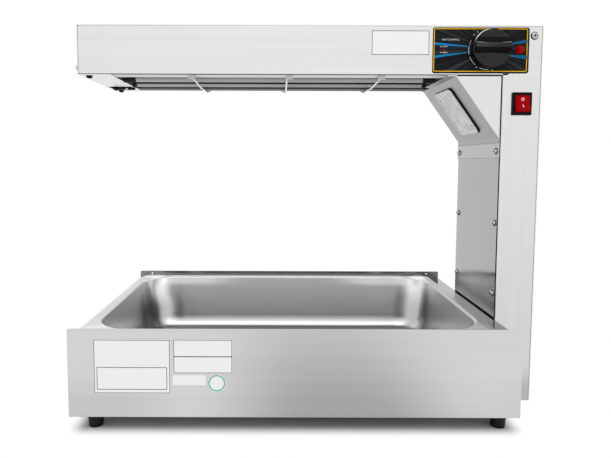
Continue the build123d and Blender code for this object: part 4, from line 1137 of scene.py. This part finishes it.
class WARMER_OT_dial_print(Operator):
    """Gold border, blue stripes, dial arc and legend on the control plate"""

    bl_idname = "warmer.dial_print"
    bl_label = "Dial print"

    def execute(self, context):
        ink = setting("print")
        low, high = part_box("control_plate")
        middle, size = (low + high) / 2, high - low
        on_dial = facing_front(dial.x, low.y, dial.z)

        def on_plate(across=0.0, up=0.0):
            return facing_front(middle.x, low.y, middle.z) @ Matrix.Translation((across, up, 0.0))

        border = bmesh.new()
        add_plate(border, size.x - 2 * ink.border_inset, size.z - 2 * ink.border_inset,
                  ink.border_corner, ink.film, on_plate(-0.0006, 0.0004), ink.border_width)
        gold = moulded("gold print", ink.gold, 0.35, 700.0, 0.12, specular_ior_level=0.1)
        make_piece("dial_border", border, gold, "warmer")

        edge = size.x / 2 - ink.border_inset - ink.border_width
        stripes = bmesh.new()
        for start, end in (((-edge, 0.0091, 0.0032), (-0.0131, 0.0050, 0.0011)),
                           ((-edge, -0.0087, 0.0032), (-0.0175, -0.0027, 0.0010)),
                           ((0.0425, 0.0094, 0.0019), (edge, 0.0124, 0.0045)),
                           ((0.0395, -0.0069, 0.0020), (edge, -0.0090, 0.0048))):
            add_stripe(stripes, start, end, ink.film, on_plate())
        blue = Finish("blue print", specular_ior_level=0.1)
        streaks = blue.noise((40.0, 40.0, 1600.0), 2.0)
        fade = 1.0 - blue.axes()[0].step(dial.x, middle.x + edge) * 0.45
        blue.feed("Base Color", blue.tint(ink.blue, fade * (0.8 + streaks * 0.4)))
        blue.feed("Roughness", 0.30 + streaks * 0.1)
        make_piece("dial_stripes", stripes, blue.material, "warmer")

        white = moulded("white print", ink.white, 0.4, 700.0, 0.05, specular_ior_level=0.2)
        arc = bmesh.new()
        for start, end, share in ((152, 168, 0.7), (170, 194, 1.1), (201, 230, 0.9),
                                  (244, 272, 0.9)):
            add_arc(arc, ink.arc_radius, ink.arc_width * share, start, end, ink.film, on_dial)
        for tick in (122.0, 135.0, 236.6, 282.5):
            add_arc(arc, ink.arc_radius + ink.tick_offset, ink.tick_length, tick - 0.8,
                    tick + 0.8, ink.film, on_dial)
        make_piece("dial_arc", arc, white, "warmer")

        legend, warm = bmesh.new(), bmesh.new()
        add_word(legend, "HEAT CONTROL", ink.letter * 1.1, ink.film, on_plate(-0.0535, 0.0142))
        for word, up, form in (("LOW", 0.0050, legend), ("MID", 0.0008, warm),
                               ("HIGH", -0.0030, legend)):
            add_word(form, word, ink.letter, ink.film, on_plate(-0.0525, up))
            add_disc(form, ink.bullet, ink.film, on_plate(-0.0547, up), 12)
        make_piece("dial_legend", legend, white, "warmer")
        red = moulded("red print", ink.red, 0.4, 700.0, 0.1, specular_ior_level=0.1)
        make_piece("dial_legend_warm", warm, red, "warmer")
        return {"FINISHED"}


class WARMER_OT_rocker_marks(Operator):
    """Circle and bar on the two halves of the rocker"""

    bl_idname = "warmer.rocker_marks"
    bl_label = "Rocker marks"

    def execute(self, context):
        ink = setting("print")
        low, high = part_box("switch_rocker")
        pivot = Vector(joints["rocker_press"]["pos_m"])
        lean = radians(joints["rocker_press"]["range_deg"][1])
        face = pivot.y - 0.0040
        middle = (low.x + high.x) / 2
        marks = bmesh.new()
        add_arc(marks, 0.0017, 0.0009, 0, 360, ink.film,
                facing_front(middle, face, pivot.z + 0.0058))
        slope = facing_front(middle, face, pivot.z) @ Matrix.Rotation(-lean, 4, "X")
        add_strip(marks, -0.0006, 0.0006, -0.0062, -0.0020, ink.film, slope)
        white = moulded("white rocker print", ink.white, 0.4, 700.0, 0.05)
        make_piece("rocker_marks", marks, white, "rocker")
        return {"FINISHED"}


class WARMER_OT_blank_plates(Operator):
    """Blank bordered plates on the canopy and the base"""

    bl_idname = "warmer.blank_plates"
    bl_label = "Blank plates"

    def execute(self, context):
        ink = setting("print")
        canopy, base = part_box("front_cover")[0].y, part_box("front_panel")[0].y
        paper, rules, ring = bmesh.new(), bmesh.new(), bmesh.new()

        # Each row gives the left, right, lower and upper edge, and the face that carries it.
        for x0, x1, z0, z1, y in ((0.0836, 0.1629, 0.4864, 0.5201, canopy),
                                  (-0.2735, -0.1769, 0.0498, 0.1197, base),
                                  (-0.1735, -0.0988, 0.0759, 0.1200, base),
                                  (-0.1740, -0.1328, 0.0610, 0.0738, base)):
            add_plate(paper, x1 - x0, z1 - z0, ink.plate_corner, ink.plate_film,
                      facing_front((x0 + x1) / 2, y, (z0 + z1) / 2))
        for x0, x1, z0, z1, y in ((0.0842, 0.1623, 0.4870, 0.5195, canopy),
                                  (-0.2729, -0.1775, 0.0504, 0.1191, base),
                                  (-0.2695, -0.1812, 0.0550, 0.0840, base),
                                  (-0.1729, -0.0994, 0.0765, 0.0980, base),
                                  (-0.1729, -0.0994, 0.0975, 0.1194, base)):
            add_plate(rules, x1 - x0, z1 - z0, ink.rule_corner, ink.film,
                      facing_front((x0 + x1) / 2, y - ink.plate_film, (z0 + z1) / 2),
                      ink.rule_width)
        round_x, round_z = -0.1189, 0.0636
        add_disc(paper, 0.0113, ink.plate_film, facing_front(round_x, base, round_z), 48)
        add_arc(ring, 0.0098, 0.0016, 0, 360, ink.film,
                facing_front(round_x, base - ink.plate_film, round_z))
        for name, form, material in (
                ("blank_plates", paper, moulded("blank plate film", ink.paper, 0.38, 300.0, 0.03)),
                ("plate_rules", rules, moulded("grey rule print", ink.rule, 0.4, 500.0, 0.1)),
                ("plate_ring", ring, moulded("teal print", ink.teal, 0.4, 500.0, 0.1))):
            make_piece(name, form, material, "warmer")
        return {"FINISHED"}


class WARMER_OT_stage(Operator):
    """White floor, soft light and the camera"""

    bl_idname = "warmer.stage"
    bl_label = "Stage"

    def execute(self, context):
        context.scene.view_settings.view_transform = "Standard"
        self.lay_floor()
        self.lay_card()
        self.light()
        self.aim_camera()
        return {"FINISHED"}

    def lay_flat(self, name, width, depth, middle, material):
        """Lays a flat sheet that isn't part of the object."""
        form = bmesh.new()
        made = bmesh.ops.create_grid(form, x_segments=1, y_segments=1, size=0.5)
        bmesh.ops.scale(form, vec=(width, depth, 1.0), verts=made["verts"])
        bmesh.ops.translate(form, vec=middle, verts=made["verts"])
        mesh = bpy.data.meshes.new(name)
        form.to_mesh(mesh)
        form.free()
        mesh.materials.append(material)
        piece = bpy.data.objects.new(name, mesh)
        bpy.context.scene.collection.objects.link(piece)
        return piece

    def lay_floor(self):
        """Lays the floor, which is painted grey as a shadow under the base and fades to white
        around it.
        """
        setup = setting("stage")
        low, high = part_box("deck_shell")
        front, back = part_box("front_panel")[0].y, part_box("rear_panel")[1].y
        paper = Finish("floor paper", roughness=0.95, specular_ior_level=0.0,
                       emission_strength=1.0)
        x, y, z = paper.axes()
        aside = (low.x - x + setup.shadow_left).larger(x - high.x + setup.shadow_right)
        ahead = abs(y - (front + back) / 2) - ((back - front) / 2 - setup.shadow_front)
        away = (aside.larger(0.0) ** 2.0 + ahead.larger(0.0) ** 2.0) ** 0.5
        white = away.step(0.0, setup.shadow_reach)
        # Painted shadow: the floor's colour is grey under the base.
        paper.feed("Base Color", paper.tint(setup.floor, 1.0 - white))
        paper.feed("Emission Color", paper.tint((1.0, 1.0, 1.0), white))
        self.lay_flat("floor", 12.0, 12.0, (0.0, 0.0, 0.0), paper.material)

    def lay_card(self):
        """Lays a dark card in front, which only the metal's reflections show."""
        setup = setting("stage")
        grey = Finish("grey card", roughness=1.0, specular_ior_level=0.0, base_color=setup.card)
        x, y, z = grey.axes()
        dark = y.above(-0.50, 0.28) * (0.30 + y.above(-0.22, 0.28) * 0.20)
        grey.feed("Alpha", x.near(setup.card_middle[0], 0.04, 0.18) * dark)
        card = self.lay_flat("card", 0.5, 0.64, setup.card_middle, grey.material)
        card.visible_camera = False
        card.visible_diffuse = False
        card.visible_shadow = False

    def light(self):
        """Sets white surroundings and one softbox."""
        setup, scene = setting("stage"), bpy.context.scene
        scene.world = bpy.data.worlds.new("studio")
        scene.world.use_nodes = True
        sky = Graph(scene.world.node_tree)
        seen = [sky.node("ShaderNodeLightPath", {}, {}, name)
                for name in ("Is Camera Ray", "Is Glossy Ray", "Is Transmission Ray")]
        clear = seen[0].larger(seen[1]).larger(seen[2])
        background = sky.nodes["Background"].inputs
        sky.put(background["Strength"], setup.daylight + clear * (1.0 - setup.daylight))
        sky.put(background["Color"], (1.0, 1.0, 1.0))

        lamp = bpy.data.lights.new("softbox", "AREA")
        lamp.shape = "RECTANGLE"
        lamp.size = setup.softbox_width
        lamp.size_y = setup.softbox_height
        lamp.energy = setup.softbox_power
        holder = bpy.data.objects.new("softbox", lamp)
        aim = Vector(setup.softbox_aim) - Vector(setup.softbox)
        holder.location = setup.softbox
        holder.rotation_euler = aim.to_track_quat("-Z", "Y").to_euler()
        scene.collection.objects.link(holder)

    def aim_camera(self):
        """Sets the camera in front, with a slight tilt and roll."""
        setup, scene = setting("stage"), bpy.context.scene
        forward = Vector((0.0, cos(setup.pitch), -sin(setup.pitch)))
        level = Vector((1.0, 0.0, 0.0))
        down = forward.cross(level)
        right = cos(setup.roll) * level + sin(setup.roll) * down
        lower = -sin(setup.roll) * level + cos(setup.roll) * down
        lens = bpy.data.cameras.new("camera")
        lens.sensor_width = 36.0
        lens.lens = setup.focal
        lens.shift_x, lens.shift_y = setup.shift
        lens.clip_start = 0.01
        camera = bpy.data.objects.new("camera", lens)
        view = Matrix((right, -lower, -forward)).transposed().to_4x4()
        camera.matrix_world = Matrix.Translation(setup.eye) @ view
        scene.collection.objects.link(camera)
        scene.camera = camera


class WARMER_PT_panel(Panel):
    """Lists the steps that dress the food warmer"""

    bl_idname = "WARMER_PT_panel"
    bl_label = "Food Warmer"
    bl_space_type = "VIEW_3D"
    bl_region_type = "UI"
    bl_category = "Food Warmer"

    def draw(self, context):
        for step in steps:
            self.layout.operator(step.bl_idname)


steps = (
    WARMER_OT_covers,
    WARMER_OT_base,
    WARMER_OT_lamp_housing,
    WARMER_OT_polished_panel,
    WARMER_OT_pan,
    WARMER_OT_heater,
    WARMER_OT_work_light,
    WARMER_OT_control_plate,
    WARMER_OT_knob,
    WARMER_OT_mouldings,
    WARMER_OT_fasteners,
    WARMER_OT_dial_print,
    WARMER_OT_rocker_marks,
    WARMER_OT_blank_plates,
    WARMER_OT_stage,
)
groups = {
    "warmer_metals": WarmerMetals,
    "warmer_shades": WarmerShades,
    "warmer_forms": WarmerForms,
    "warmer_trim": WarmerTrim,
    "warmer_print": WarmerPrint,
    "warmer_stage": WarmerStage,
}


def register():
    for kind in (*groups.values(), *steps, WARMER_PT_panel):
        bpy.utils.register_class(kind)
    for name, group in groups.items():
        setattr(bpy.types.Scene, name, PointerProperty(type=group))


def unregister():
    for name in groups:
        delattr(bpy.types.Scene, name)
    for kind in reversed((*groups.values(), *steps, WARMER_PT_panel)):
        bpy.utils.unregister_class(kind)


def main():
    register()
    for step in steps:
        family, name = step.bl_idname.split(".")
        getattr(getattr(bpy.ops, family), name)()


if __name__ == "__main__":
    main()
